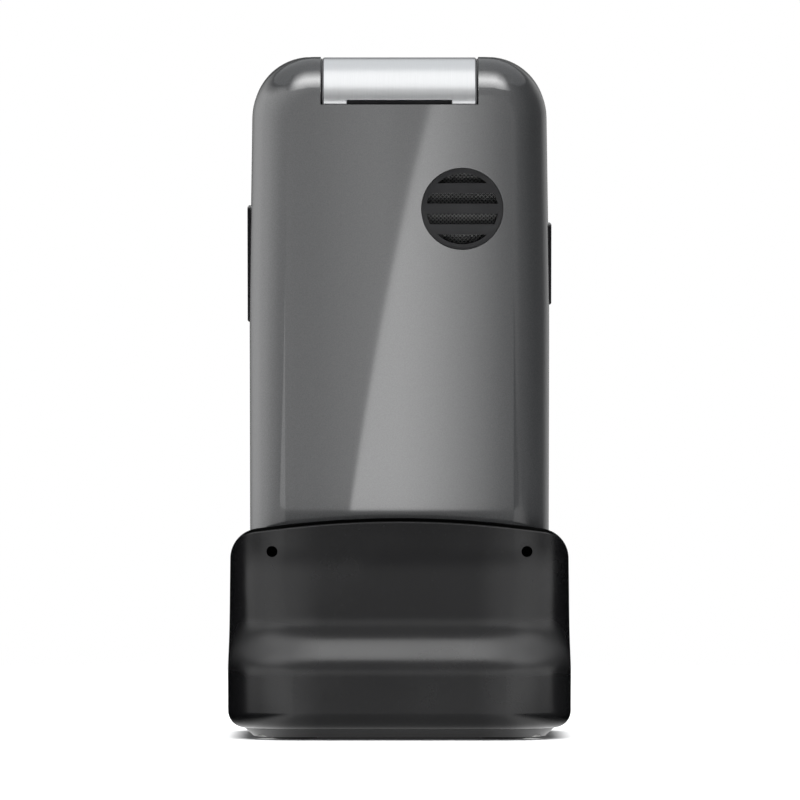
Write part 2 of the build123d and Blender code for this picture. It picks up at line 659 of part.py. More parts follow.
def camera():
    """The camera, a little proud of the outer window, with its lens sunk in a ring."""
    front = LID_OUTER_Y + CAMERA_PROUD
    body = round_bar(CAMERA_R, 0, CAMERA_Z, front - CAMERA_DEPTH, front)
    body = chamfer(edges_at_depth(body, front), CAMERA_PROUD)
    return body - round_bar(CAMERA_LENS_R, 0, CAMERA_Z, front - CAMERA_PROUD * 3, front)


def camera_light():
    """The small light beside the camera."""
    return round_bar(FLASH_R, FLASH_X, CAMERA_Z, LID_OUTER_Y - EARPIECE_THICKNESS, LID_OUTER_Y)


def lid_places(places):
    """Pairs of places on both sides of the lid's middle line."""
    return [(side * x, z) for x, z in places for side in (-1, 1)]


def lid_bumpers():
    """Four soft pads that keep the closed lid off the deck, as separate solids."""
    low = DECK_Y + BUMPER_GAP
    high = LID_INNER_Y + BUMPER_SEAT
    bumpers = Part()
    for x, z in lid_places(BUMPER_PLACES):
        bumpers += round_bar(BUMPER_R, x, z, low, high)
    return bumpers


def lid_screws():
    """The four screws that hold the lid's covers together, as separate solids."""
    seat = LID_INNER_Y + LID_WALL
    screws = Part()
    for x, z in lid_places(LID_SCREW_PLACES):
        screws += round_bar(SCREW_HEAD_R, x, z, seat - SCREW_HEAD_HEIGHT, seat)
        screws += round_bar(SCREW_SHANK_R - THREAD_GAP, x, z, seat, seat + LID_SCREW_SHANK)
    return screws


def lid_shell():
    """The lid's wall all round its hollow, with the bosses for its screws."""
    hollow = lid_body(LID_WALL)
    shell = lid_body() - hollow
    for x, z in lid_places(LID_SCREW_PLACES):
        shell += round_bar(LID_BOSS_R, x, z, LID_INNER_Y + LID_WALL, LID_OUTER_Y - LID_WALL)
        shell -= round_bar(SCREW_HEAD_R + MOVING_GAP, x, z, LID_INNER_Y, LID_INNER_Y + LID_WALL)
        shell -= round_bar(SCREW_SHANK_R, x, z, LID_INNER_Y, LID_INNER_Y + LID_WALL + LID_SCREW_SHANK)
    return shell - neck()


def lid_inner_cover(shell):
    """The lid's inner cover, with the pockets for the window, the earpiece and the bumpers."""
    inner = shell & block(-PHONE_WIDTH, PHONE_WIDTH, 0, LID_SPLIT_Y, 0, PHONE_LENGTH)
    inner -= main_window(MOVING_GAP)
    inner -= main_display(MOVING_GAP)
    inner -= earpiece(MOVING_GAP)
    for x, z in lid_places(BUMPER_PLACES):
        inner -= round_bar(BUMPER_R, x, z, LID_INNER_Y, LID_INNER_Y + BUMPER_SEAT)
    return inner


def lid_outer_cover(shell):
    """The lid's outer cover, with the pocket for its window and the holes behind that."""
    outer = shell & block(-PHONE_WIDTH, PHONE_WIDTH, LID_SPLIT_Y, PHONE_WIDTH, 0, PHONE_LENGTH)
    outer -= outer_window(MOVING_GAP)
    outer -= outer_display(MOVING_GAP)
    outer -= round_bar(CAMERA_R + MOVING_GAP, 0, CAMERA_Z, LID_SPLIT_Y, LID_OUTER_Y)
    return outer - round_bar(FLASH_R + MOVING_GAP, FLASH_X, CAMERA_Z, LID_SPLIT_Y, LID_OUTER_Y)


def hinge_barrel():
    """The bright barrel between the knuckles, with its neck, its slot and the bores for shaft and pin."""
    half_width = BARREL_WIDTH / 2
    barrel = hinge_rod(BARREL_R, -half_width, half_width)
    ends = barrel.edges().filter_by(GeomType.CIRCLE)
    barrel = chamfer(ends, BARREL_CHAMFER)
    barrel += neck()
    rear = HINGE_Y - BARREL_R
    half_slot = BARREL_SLOT_WIDTH / 2
    slot_z = HINGE_Z - BARREL_SLOT_DROP
    barrel -= block(-half_slot, half_slot, rear, rear + BARREL_SLOT_DEPTH,
                    slot_z - BARREL_SLOT_HEIGHT / 2, slot_z + BARREL_SLOT_HEIGHT / 2)
    barrel -= hinge_hexagon(THREAD_GAP)
    return barrel - hinge_rod(HINGE_PIN_R, half_width - HINGE_PIN_LENGTH + HINGE_BUSH_LENGTH, half_width)


def hinge_hexagon(grow=0.0):
    """The hexagonal end of the shaft, inside the barrel's left end."""
    outline = RegularPolygon(HINGE_HEX_FLATS / 2 + grow, 6, major_radius=False)
    left = -BARREL_WIDTH / 2
    return sideways(Pos(HINGE_Y, HINGE_Z) * outline, left, left + HINGE_HEX_LENGTH)


def hinge_shaft():
    """The shaft that turns in the hinge module."""
    left = -BARREL_WIDTH / 2
    reach = HINGE_MODULE_LENGTH / 2
    return hinge_hexagon() + hinge_rod(HINGE_SHAFT_R, left - reach, left)


def hinge_pin():
    """The pin, fixed in the barrel's right end, that turns in the bush."""
    start = BARREL_WIDTH / 2 - HINGE_PIN_LENGTH + HINGE_BUSH_LENGTH
    return hinge_rod(HINGE_PIN_R - THREAD_GAP, start, start + HINGE_PIN_LENGTH)


# Dock

def wall_y(z):
    """How far back the outside of the dock's rear wall lies at one height, along the phone's lean."""
    lean = radians(LEAN)
    behind = (DOCK_REAR_WALL + POCKET_CLEARANCE) * sqrt(1 + tan(lean)**2)
    return PHONE_REAR_Y - behind - (z - PHONE_FLOOR_Z) * tan(lean)


def dock_half_width(z):
    """Half the dock's width at one height. It narrows upwards a little, as a moulding does."""
    return DOCK_HALF_WIDTH - max(0, z - DOCK_STEP_Z) * DOCK_DRAFT


def dock_section(z, rear_y, corner):
    """The dock's outline in plan at one height, as a rounded oblong that reaches back to rear_y."""
    depth = DOCK_HALF_DEPTH - rear_y
    return Pos(0, rear_y + depth / 2, z) * RectangleRounded(2 * dock_half_width(z), depth, corner)


def dock_step():
    """The swept step from the dock's foot up to its rear wall, as a loft through plan outlines.
    Upright at the foot, it leans in quickly and then runs out slowly into the wall."""
    sections = []
    for n in range(DOCK_STEP_SECTIONS + 1):
        rise = (n / DOCK_STEP_SECTIONS) ** 1.5
        z = DOCK_STEP_Z + rise * DOCK_STEP_RISE
        left = (1 - rise) ** DOCK_STEP_POWER * (1 + DOCK_STEP_POWER * rise)
        rear_y = wall_y(z) - (wall_y(z) + DOCK_HALF_DEPTH) * left
        corner = DOCK_PLAN_R + (DOCK_WALL_PLAN_R - DOCK_PLAN_R) * rise
        sections.append(dock_section(z, rear_y, corner))
    return loft(sections)


def dock_body():
    """The dock's outside as one solid: foot, step and leaning wall, cut to its arch and its side slope."""
    foot = extrude(dock_section(DOCK_BOTTOM_Z, -DOCK_HALF_DEPTH, DOCK_PLAN_R),
                   amount=DOCK_STEP_Z - DOCK_BOTTOM_Z)
    foot = fillet(foot.edges().group_by(Axis.Z)[0], DOCK_BOTTOM_R)
    step_top = DOCK_STEP_Z + DOCK_STEP_RISE
    wall = loft([dock_section(z, wall_y(z), DOCK_WALL_PLAN_R)
                 for z in (step_top, DOCK_TOP_Z + DOCK_SHOULDER_R)])
    body = (foot + dock_step() + wall) & dock_arch()
    rim = [edge for edge in body.edges() if edge.center().Z > REAR_HOLE_Z and edge.center().Y < 0]
    return fillet(rim, DOCK_RIM_R) & dock_side_profile()


def dock_arch():
    """The dock's outline from behind, with its arched top edge and rounded shoulders. Its sides lean in
    beside the dock's own, a hair outside them."""
    half_width = dock_half_width(DOCK_TOP_Z) + DOCK_ARCH_MARGIN
    shoulder_z = DOCK_TOP_Z - DOCK_ARCH_R + sqrt(DOCK_ARCH_R**2 - half_width**2)
    low_half_width = half_width + shoulder_z * DOCK_DRAFT
    top = ThreePointArc((half_width, shoulder_z), (0, DOCK_TOP_Z), (-half_width, shoulder_z))
    rest = Polyline((-half_width, shoulder_z), (-low_half_width, 0), (low_half_width, 0),
                    (half_width, shoulder_z))
    face = make_face([top, rest])
    face = fillet(face.vertices().group_by(Axis.Y)[-1], DOCK_SHOULDER_R)
    return across(face, -DOCK_HALF_DEPTH, DOCK_HALF_DEPTH)


def dock_side_profile():
    """The dock's outline from the side, sloping from its rear wall to its low front."""
    rear_y = wall_y(DOCK_TOP_Z) + DOCK_REAR_WALL
    outline = Polyline(
        (-DOCK_HALF_DEPTH, 0), (DOCK_HALF_DEPTH, 0), (DOCK_HALF_DEPTH, DOCK_FRONT_TOP_Z),
        (DOCK_FRONT_TOP_Y, DOCK_FRONT_TOP_Z), (DOCK_SIDE_TOP_Y, DOCK_SIDE_TOP_Z), (rear_y, DOCK_TOP_Z),
        (-DOCK_HALF_DEPTH, DOCK_TOP_Z), close=True)
    face = make_face(outline)
    bends = [v for v in face.vertices() if 0 < v.X < DOCK_HALF_DEPTH and v.Y > 0]
    face = fillet(bends, DOCK_SIDE_BLEND_R)
    return sideways(face, -DOCK_HALF_WIDTH, DOCK_HALF_WIDTH)


def phone_pocket():
    """The space that the phone stands in, open upwards and to the front, in the phone's own frame."""
    outline = offset(phone_outline(), amount=POCKET_CLEARANCE)
    lift = POCKET_CLEARANCE - POCKET_FLOOR_GAP
    return across(Pos(0, lift) * outline, -POCKET_CLEARANCE, PHONE_WIDTH)


def front_clearance():
    """The space under the lid's bottom end, down to the dock's low front."""
    half_width = HALF_WIDTH + POCKET_CLEARANCE
    rear_y = PHONE_REAR_Y + DOCK_SEAT_FRONT
    return block(-half_width, half_width, rear_y, DOCK_HALF_DEPTH, DOCK_FRONT_TOP_Z, DOCK_TOP_Z)


def pin_bore(x):
    """The stepped bore for one charge pin, in the phone's own frame."""
    tip = Pos(x, PIN_Y, 0) * Cylinder(PIN_R + RUNNING_CLEARANCE, 2 * PIN_LENGTH)
    guide = Cylinder(PIN_FLANGE_R + RUNNING_CLEARANCE, PIN_BLOCK_DROP)
    return tip + Pos(x, PIN_Y, -PIN_FLANGE_DROP - PIN_BLOCK_DROP / 2) * guide


def charge_pin(x):
    """One sprung pin with its flange, in the phone's own frame."""
    length = PIN_LENGTH - PIN_GAP
    tip = Pos(x, PIN_Y, -PIN_LENGTH + length / 2) * Cylinder(PIN_R, length)
    tip = chamfer(tip.edges().group_by(Axis.Z)[-1], PIN_R / 2)
    flange_top = -PIN_FLANGE_DROP - RUNNING_CLEARANCE
    flange = Cylinder(PIN_FLANGE_R, PIN_FLANGE_THICKNESS)
    return tip + Pos(x, PIN_Y, flange_top - PIN_FLANGE_THICKNESS / 2) * flange


def socket_place():
    """Puts a power socket in the dock's right side, with its mouth facing outwards."""
    mouth = Pos(DOCK_HALF_WIDTH - DOCK_SOCKET_SINK, DOCK_SOCKET_Y, DOCK_SOCKET_Z)
    return mouth * Rot(0, -90, 0) * Rot(0, 0, 90)


def dock_cavity(inset=0.0):
    """The outline in plan of the hollow under the dock."""
    return RectangleRounded(2 * (CAVITY_HALF_WIDTH - inset), 2 * (CAVITY_HALF_DEPTH - inset),
                            DOCK_CAVITY_CORNER_R - inset)


def corners_of(x, y):
    """The four places that mirror one place across both middle lines."""
    return [(side * x, end * y) for side in (-1, 1) for end in (-1, 1)]


def dock_shell():
    """The dock's body: pocket, hollow, screw bosses, pin bores, and the holes in its back and sides."""
    shell = dock_body() - PHONE_PLACE * phone_pocket() - front_clearance()
    hollow = Pos(0, 0, DOCK_BOTTOM_Z) * extrude(dock_cavity(), amount=DOCK_CAVITY_TOP_Z - DOCK_BOTTOM_Z)
    for x, y in corners_of(BOSS_X, BOSS_Y):
        hollow -= Pos(x, y, DOCK_CAVITY_TOP_Z / 2) * Cylinder(BOSS_R, DOCK_CAVITY_TOP_Z)
    shell -= hollow
    for x, y in corners_of(BOSS_X, BOSS_Y):
        shell -= Pos(x, y, DOCK_BOTTOM_Z) * Cylinder(SCREW_SHANK_R, 2 * DOCK_SCREW_SHANK)
    for x in (-PAD_X, PAD_X):
        shell -= PHONE_PLACE * pin_bore(x)
    hole_end = wall_y(REAR_HOLE_Z) + REAR_HOLE_DEPTH
    for x in (-REAR_HOLE_X, REAR_HOLE_X):
        shell -= round_bar(REAR_HOLE_R, x, REAR_HOLE_Z, -DOCK_HALF_DEPTH, hole_end)
    shell -= socket_place() * Pos(0, -HINGE_Y, 0) * socket_space()
    return shell - light_bar(MOVING_GAP)


def dock_base_plate():
    """The tapered plate that closes the dock, with a raised lip and recesses for feet and screws."""
    rim = DOCK_BOTTOM_R + MOVING_GAP
    outline = RectangleRounded(2 * (DOCK_HALF_WIDTH - rim), 2 * (DOCK_HALF_DEPTH - rim), DOCK_PLAN_R - rim)
    thickness = DOCK_BOTTOM_Z - PLATE_BOTTOM_Z
    plate = Pos(0, 0, PLATE_BOTTOM_Z) * extrude(outline, amount=thickness)
    plate = chamfer(plate.edges().group_by(Axis.Z)[0], thickness - MOVING_GAP, PLATE_FLARE)
    lip = dock_cavity(MOVING_GAP) - dock_cavity(MOVING_GAP + PLATE_LIP)
    lip = Pos(0, 0, DOCK_BOTTOM_Z) * extrude(lip, amount=PLATE_LIP)
    for x, y in corners_of(BOSS_X, BOSS_Y):
        lip -= Pos(x, y, DOCK_BOTTOM_Z) * Cylinder(BOSS_R + MOVING_GAP, 3 * PLATE_LIP)
    plate += lip
    for x, y in corners_of(BOSS_X, BOSS_Y):
        plate -= Pos(x, y, 0) * Cylinder(SCREW_SHANK_R + MOVING_GAP, 2 * DOCK_BOTTOM_Z)
        plate -= Pos(x, y, 0) * Cylinder(SCREW_HEAD_R + MOVING_GAP, 2 * DOCK_SCREW_SEAT)
    for x, y in corners_of(FOOT_X, FOOT_Y):
        plate -= Pos(x, y, 0) * Cylinder(FOOT_R, 2 * FOOT_THICKNESS)
    return plate


def dock_feet():
    """Four round feet, as separate solids."""
    feet = Part()
    for x, y in corners_of(FOOT_X, FOOT_Y):
        feet += Pos(x, y, FOOT_THICKNESS / 2) * Cylinder(FOOT_R, FOOT_THICKNESS)
    return feet


def dock_screws():
    """The four screws under the dock, as separate solids."""
    seat = DOCK_SCREW_SEAT
    shank = Cylinder(SCREW_SHANK_R - THREAD_GAP, DOCK_SCREW_SHANK)
    screws = Part()
    for x, y in corners_of(BOSS_X, BOSS_Y):
        screws += Pos(x, y, seat - SCREW_HEAD_HEIGHT / 2) * Cylinder(SCREW_HEAD_R, SCREW_HEAD_HEIGHT)
        screws += Pos(x, y, seat + DOCK_SCREW_SHANK / 2) * shank
    return screws


def ballast():
    """The steel weight that lies on the base plate."""
    weight = Box(BALLAST_WIDTH, BALLAST_DEPTH, BALLAST_THICKNESS)
    return Pos(0, 0, DOCK_BOTTOM_Z + BALLAST_THICKNESS / 2) * weight


def pin_block():
    """The block under the bores that guides the charge pins."""
    block_body = Pos(0, PIN_Y, -PIN_BLOCK_DROP) * Box(
        PIN_BLOCK_WIDTH, PIN_BLOCK_DEPTH, PIN_BLOCK_DROP, align=(Align.CENTER, Align.CENTER, Align.MIN))
    for x in (-PAD_X, PAD_X):
        block_body -= Pos(x, PIN_Y, 0) * Cylinder(PIN_FLANGE_R + RUNNING_CLEARANCE, 3 * PIN_LENGTH)
    hollow = Box(2 * DOCK_HALF_WIDTH, 2 * DOCK_HALF_DEPTH, DOCK_CAVITY_TOP_Z)
    return (PHONE_PLACE * block_body) & (Pos(0, 0, DOCK_CAVITY_TOP_Z / 2) * hollow)


def dock_board():
    """The dock's circuit board, under the pin block."""
    board = Box(DOCK_BOARD_WIDTH, DOCK_BOARD_DEPTH, DOCK_BOARD_THICKNESS)
    return Pos(0, PIN_Y, -PIN_BLOCK_DROP - DOCK_BOARD_THICKNESS / 2) * board


def light_bar(grow=0.0):
    """The small light in the dock's front."""
    outline = RectangleRounded(LIGHT_WIDTH + 2 * grow, LIGHT_HEIGHT + 2 * grow, LIGHT_HEIGHT / 3)
    return across(Pos(0, LIGHT_Z) * outline, DOCK_HALF_DEPTH - LIGHT_DEPTH, DOCK_HALF_DEPTH)


# Every sub-part, saved at its place

os.makedirs("parts", exist_ok=True)

save("back_cover", back_cover(), PHONE_PLACE)
save("front_cover", front_cover(), PHONE_PLACE)
save("speaker_grille", speaker_grille(), PHONE_PLACE)
save("speaker_mesh", speaker_mesh(), PHONE_PLACE)
save("loudspeaker", loudspeaker(), PHONE_PLACE)
save("battery", battery(), PHONE_PLACE)
save("main_board", main_board(), PHONE_PLACE)
save("base_screws", base_screws(), PHONE_PLACE)
save("dome_sheet", dome_sheet(), PHONE_PLACE)
save("power_socket", power_socket(), PHONE_PLACE * Pos(0, HINGE_Y, 0))
save("charge_pads", pad(-PAD_X) + pad(PAD_X), PHONE_PLACE)
save("vibration_motor", vibration_motor(), PHONE_PLACE)
save("hinge_module", hinge_module(), PHONE_PLACE)
save("hinge_bush", hinge_bush(), PHONE_PLACE)

for name, (width, height, centre) in oblong_keys().items():
    save(name, key(width, height, centre), PHONE_PLACE)
save("nav_ring", nav_ring(), PHONE_PLACE)
save("key_ok", ok_key(), PHONE_PLACE)
save("volume_rocker", side_key(-1, ROCKER_LENGTH, ROCKER_SWING), PHONE_PLACE)
save("side_key", side_key(1, SIDE_KEY_LENGTH, MOVING_GAP), PHONE_PLACE)

LID_SHELL = lid_shell()
save("lid_inner_cover", lid_inner_cover(LID_SHELL), PHONE_PLACE)
save("lid_outer_cover", lid_outer_cover(LID_SHELL), PHONE_PLACE)
save("hinge_barrel", hinge_barrel(), PHONE_PLACE)
save("hinge_shaft", hinge_shaft(), PHONE_PLACE)
save("hinge_pin", hinge_pin(), PHONE_PLACE)
save("main_display", main_display(), PHONE_PLACE)
save("main_window", main_window(), PHONE_PLACE)
save("outer_display", outer_display(), PHONE_PLACE)
save("outer_window", outer_window(), PHONE_PLACE)
save("camera", camera(), PHONE_PLACE)
save("camera_light", camera_light(), PHONE_PLACE)
save("earpiece", earpiece(), PHONE_PLACE)
save("lid_bumpers", lid_bumpers(), PHONE_PLACE)
save("lid_screws", lid_screws(), PHONE_PLACE)

save("dock_shell", dock_shell())
save("dock_base_plate", dock_base_plate())
save("dock_feet", dock_feet())
save("dock_screws", dock_screws())
save("dock_ballast", ballast())
save("dock_board", dock_board(), PHONE_PLACE)
save("dock_power_socket", power_socket(), socket_place())
save("dock_pin_block", pin_block())
save("charge_pin_left", charge_pin(-PAD_X), PHONE_PLACE)
save("charge_pin_right", charge_pin(PAD_X), PHONE_PLACE)
save("dock_light", light_bar())
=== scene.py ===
# %% [markdown]
# # A grey flip phone in its charging dock
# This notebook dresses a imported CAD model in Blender. The CAD model is a folding phone that stands in a
# black desk dock, seen from behind. Every CAD part keeps its place: here it gets a finish, and the parts
# that need finer shape than CAD gives, such as the woven mesh behind the speaker slots and the printing
# on the keys, are modelled by hand in mesh code and ride on the same bodies.
# The scene is in metres, with +Z up. The camera looks along +Y at the phone's back.

from math import cos, pi, radians, sin, sqrt, tan

import bpy
from mathutils import Matrix, Vector


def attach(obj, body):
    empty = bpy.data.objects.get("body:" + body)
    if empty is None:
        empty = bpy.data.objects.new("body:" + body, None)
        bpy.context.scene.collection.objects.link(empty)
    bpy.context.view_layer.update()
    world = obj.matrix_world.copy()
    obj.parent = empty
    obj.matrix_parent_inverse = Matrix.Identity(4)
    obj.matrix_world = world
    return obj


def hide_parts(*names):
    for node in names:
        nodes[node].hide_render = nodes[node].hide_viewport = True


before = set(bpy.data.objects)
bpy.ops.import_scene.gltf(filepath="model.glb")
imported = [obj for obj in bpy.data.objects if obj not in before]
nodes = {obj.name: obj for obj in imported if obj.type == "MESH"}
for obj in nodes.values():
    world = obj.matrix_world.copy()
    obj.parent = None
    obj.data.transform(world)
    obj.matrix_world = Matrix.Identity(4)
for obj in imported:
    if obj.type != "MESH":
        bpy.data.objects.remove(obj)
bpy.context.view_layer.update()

# %% [markdown]
# ## Two frames of reference
# The dock stands upright, but the phone leans back in it. It is easier to think of the phone standing
# straight, with x across, y through its thickness from the back cover to the lid, and z along it, and to
# turn each finished piece into the dock afterwards. One matrix does that for everything on the phone.

# %% The phone's place
MM = 0.001
PHONE_LEAN = radians(6.0)
PHONE_FOOT = Vector((0.0, -10.5, 16.46)) * MM


def moved(x, y, z):
    """A matrix that moves by x, y and z, in mm."""
    return Matrix.Translation(Vector((x, y, z)) * MM)


def turned(angle, axis):
    """A matrix that turns about an axis through the origin."""
    return Matrix.Rotation(angle, 4, axis)


phone_place = Matrix.Translation(PHONE_FOOT) @ turned(PHONE_LEAN, "X")
print("phone leans", round(PHONE_LEAN * 180 / pi, 1), "degrees")

# %% [markdown]
# ## Working on one mesh at a time
# An operator acts on whatever is selected, so every piece starts from an empty selection. At the end a
# piece is settled: its place goes into its mesh, and its object sits unturned at the origin.

# %% Helpers for meshes
HERE = Matrix.Identity(4)


def start_fresh():
    """Leaves edit mode and deselects everything."""
    if bpy.context.object and bpy.context.object.mode != "OBJECT":
        bpy.ops.object.mode_set(mode="OBJECT")
    bpy.ops.object.select_all(action="DESELECT")


def choose_only(piece):
    """Selects one piece and makes it the active one."""
    start_fresh()
    piece.select_set(True)
    bpy.context.view_layer.objects.active = piece


def named(name):
    """Names the object that an operator has just made."""
    piece = bpy.context.object
    piece.name = name
    return piece


def settle(piece, place=phone_place):
    """Moves the piece's place into its mesh, so that its object sits unturned at the origin."""
    choose_only(piece)
    bpy.ops.object.transform_apply(location=True, rotation=True, scale=True)
    piece.data.transform(place)
    piece.data.update()
    return piece


def edit(piece, domain="FACE"):
    """Enters edit mode on one piece, in face, edge or vertex mode."""
    bpy.context.view_layer.objects.active = piece
    piece.select_set(True)
    bpy.ops.object.mode_set(mode="EDIT")
    bpy.ops.mesh.select_mode(type=domain)


def choose_all():
    """In edit mode, selects the whole piece."""
    bpy.ops.mesh.select_all(action="SELECT")


def edit_whole(piece, domain="FACE"):
    """Enters edit mode on one piece with all of it selected."""
    edit(piece, domain)
    choose_all()


def face_outward():
    """In edit mode, turns every normal of the piece outward."""
    choose_all()
    bpy.ops.mesh.normals_make_consistent(inside=False)


def apply_all(piece):
    """Applies every modifier on a piece, from first to last."""
    choose_only(piece)
    for modifier in list(piece.modifiers):
        bpy.ops.object.modifier_apply(modifier=modifier.name)


print("helpers for meshes are ready")

# %% [markdown]
# ## Building node trees
# A node is added together with what feeds it: numbers, colours or the outputs of earlier nodes. So each
# finish is short and reads from top to bottom.

# %% Helpers that add a node
def feed(tree, socket, value):
    """Sets an input, or links it where value is another node's output."""
    if isinstance(value, bpy.types.NodeSocket):
        tree.links.new(value, socket)
    else:
        socket.default_value = value


def add(tree, kind, *inputs, **values):
    """Adds a shader node. inputs feed its sockets in order, and names set its properties or its sockets."""
    node = tree.nodes.new("ShaderNode" + kind)
    for key, value in values.items():
        if hasattr(node, key):
            setattr(node, key, value)
        else:
            feed(tree, node.inputs[key.replace("_", " ")], value)
    for socket, value in zip(node.inputs, inputs):
        feed(tree, socket, value)
    return node


print("helpers that add a node are ready")

# %% Helpers for numbers, masks and colours
def maths(tree, operation, *values):
    """Arithmetic on numbers."""
    return add(tree, "Math", *values, operation=operation).outputs[0]


def vector(tree, operation, *values):
    """Arithmetic on vectors."""
    return add(tree, "VectorMath", *values, operation=operation).outputs[0]


def mix(tree, kind, mask, first, second):
    """Goes from first to second as the mask goes from 0 to 1. kind is FLOAT, VECTOR or RGBA."""
    node = add(tree, "Mix", mask, data_type=kind)
    place = ("FLOAT", "VECTOR", "RGBA").index(kind)
    feed(tree, node.inputs[2 + 2 * place], first)
    feed(tree, node.inputs[3 + 2 * place], second)
    return node.outputs[place]


def between(tree, value, start, end, low=0.0, high=1.0, smooth=False):
    """Goes from low to high as value goes from start to end, and stays there beyond."""
    kind = "SMOOTHSTEP" if smooth else "LINEAR"
    return add(tree, "MapRange", value, start, end, low, high, interpolation_type=kind).outputs[0]


def band(tree, value, start, end):
    """Rises smoothly from 0 at start to 1 at end, both in mm."""
    return between(tree, value, start * MM, end * MM, smooth=True)


def ramp(tree, value, stops):
    """Colours by a value from 0 to 1. A stop is (position, colour), or (position, grey level)."""
    node = add(tree, "ValToRGB", value)
    while len(node.color_ramp.elements) < len(stops):
        node.color_ramp.elements.new(0.5)
    for element, (position, tone) in zip(node.color_ramp.elements, stops):
        element.position = position
        element.color = (*tone, 1) if isinstance(tone, tuple) else (tone, tone, tone, 1)
    return node.outputs["Color"]


print("helpers for numbers, masks and colours are ready")

# %% Helpers for places and bare materials
def axes(tree, place):
    """The three coordinates of a place or a direction."""
    return add(tree, "SeparateXYZ", place).outputs


def own_place(tree):
    """Object coordinates, which are the scene's own metres because every piece sits at the origin."""
    return add(tree, "TexCoord").outputs["Object"]


def bare_material(name):
    """A material with an empty node tree."""
    material = bpy.data.materials.new(name)
    material.use_nodes = True
    material.node_tree.nodes.clear()
    return material, material.node_tree


def show(tree, surface):
    """Makes a shader the surface of its material."""
    add(tree, "OutputMaterial", surface.outputs[0])


print("helpers for places and bare materials are ready")

# %% [markdown]
# ## Shared effects as node groups
# Moulded and painted surfaces are never perfectly even. Three small effects are used on many finishes, so
# each is a node group: fine grain for moulded plastic, sparse dust that dulls a gloss, and slow waviness
# that makes a reflection in a moulded gloss surface swim a little. Each group puts out values and normals
# only, and the shader itself stays in the material.

# %% Helper for groups
def new_group(name, inputs, outputs):
    """An empty group. inputs are numbers by name, and outputs name a kind of socket each."""
    tree = bpy.data.node_groups.new(name, "ShaderNodeTree")
    for label, default in inputs.items():
        socket = tree.interface.new_socket(name=label, in_out="INPUT", socket_type="NodeSocketFloat")
        socket.default_value = default
    for label, kind in outputs.items():
        tree.interface.new_socket(name=label, in_out="OUTPUT", socket_type="NodeSocket" + kind)
    return tree, tree.nodes.new("NodeGroupInput").outputs, tree.nodes.new("NodeGroupOutput").inputs


print("helper for groups is ready")

# %% Grain of moulded plastic
# Fine pits in a mould, as roughness and a normal. Scale is pits per metre.
GRAIN_DISTANCE = 0.00004
tree, given, result = new_group("moulded_grain", {"Scale": 4000.0, "Depth": 0.1, "Roughness": 0.4,
                                                  "Variation": 0.08}, {"Roughness": "Float", "Normal": "Vector"})
place = own_place(tree)
pits = add(tree, "TexNoise", Vector=place, Scale=given["Scale"], Detail=2.0, Roughness=0.55)
patches = add(tree, "TexNoise", Vector=place, Scale=90.0, Detail=3.0)
lowest = maths(tree, "MULTIPLY_ADD", given["Variation"], -0.5, given["Roughness"])
rough = maths(tree, "MULTIPLY_ADD", patches.outputs["Fac"], given["Variation"], lowest)
bump = add(tree, "Bump", Height=pits.outputs["Fac"], Strength=given["Depth"], Distance=GRAIN_DISTANCE)
feed(tree, result["Roughness"], rough)
feed(tree, result["Normal"], bump.outputs["Normal"])
moulded_grain = tree
print("group:", moulded_grain.name)

# %% Dust and faint smears on a gloss
# Mask is where a gloss is dulled, from 0 to 1, and Roughness is the dulled gloss.
SPECKS, SMEARS, SMEAR_STRENGTH = (0.10, 0.04), (0.48, 0.75), 0.6
tree, given, result = new_group("dust_and_smears", {"Gloss": 0.08, "Dulling": 0.12, "Speck Size": 900.0},
                                {"Mask": "Float", "Roughness": "Float"})
place = own_place(tree)
specks = add(tree, "TexVoronoi", Vector=place, Scale=given["Speck Size"], feature="F1")
smears = add(tree, "TexNoise", Vector=place, Scale=60.0, Detail=5.0, Roughness=0.6)
dust = maths(tree, "MAXIMUM", between(tree, specks.outputs["Distance"], *SPECKS),
             between(tree, smears.outputs["Fac"], *SMEARS, high=SMEAR_STRENGTH))
feed(tree, result["Mask"], dust)
feed(tree, result["Roughness"], maths(tree, "MULTIPLY_ADD", dust, given["Dulling"], given["Gloss"]))
dust_and_smears = tree
print("group:", dust_and_smears.name)

# %% Slow waviness of a moulded gloss
# The slow unevenness of a moulded or lacquered surface, as a normal.
WAVE_DISTANCE = 0.0002
tree, given, result = new_group("slow_waviness", {"Scale": 70.0, "Height": 0.05}, {"Normal": "Vector"})
swell = add(tree, "TexNoise", Vector=own_place(tree), Scale=given["Scale"], Detail=1.0)
bump = add(tree, "Bump", Height=swell.outputs["Fac"], Strength=given["Height"], Distance=WAVE_DISTANCE)
feed(tree, result["Normal"], bump.outputs["Normal"])
slow_waviness = tree
print("group:", slow_waviness.name)

# %% [markdown]
# ## Camera and studio
# The photograph looks straight at the phone's back from far away, so a long lens stands level with the
# middle of the picture. The studio is a pale floor under a bright ceiling. The room is dark at eye level,
# which gives gloss black its dark edges, and light above. The floor fades out away from the object, where
# only the white of the backdrop is left.

# %% Camera
PICTURE_WIDTH = 0.14485
FOCUS_PLANE_Y = -0.016
CAMERA_PLACE = (0.0001, -1.2235, 0.0614)
NEAREST_SEEN = 0.05
SENSOR = 36.0
start_fresh()
bpy.ops.object.camera_add(location=CAMERA_PLACE, rotation=(pi / 2, 0, 0))
camera = bpy.context.object
camera.data.sensor_width = SENSOR
camera.data.lens = SENSOR * (FOCUS_PLANE_Y - CAMERA_PLACE[1]) / PICTURE_WIDTH
camera.data.clip_start = NEAREST_SEEN
bpy.context.scene.camera = camera
bpy.context.scene.view_settings.view_transform = "Standard"
print("lens, mm:", round(camera.data.lens, 1))

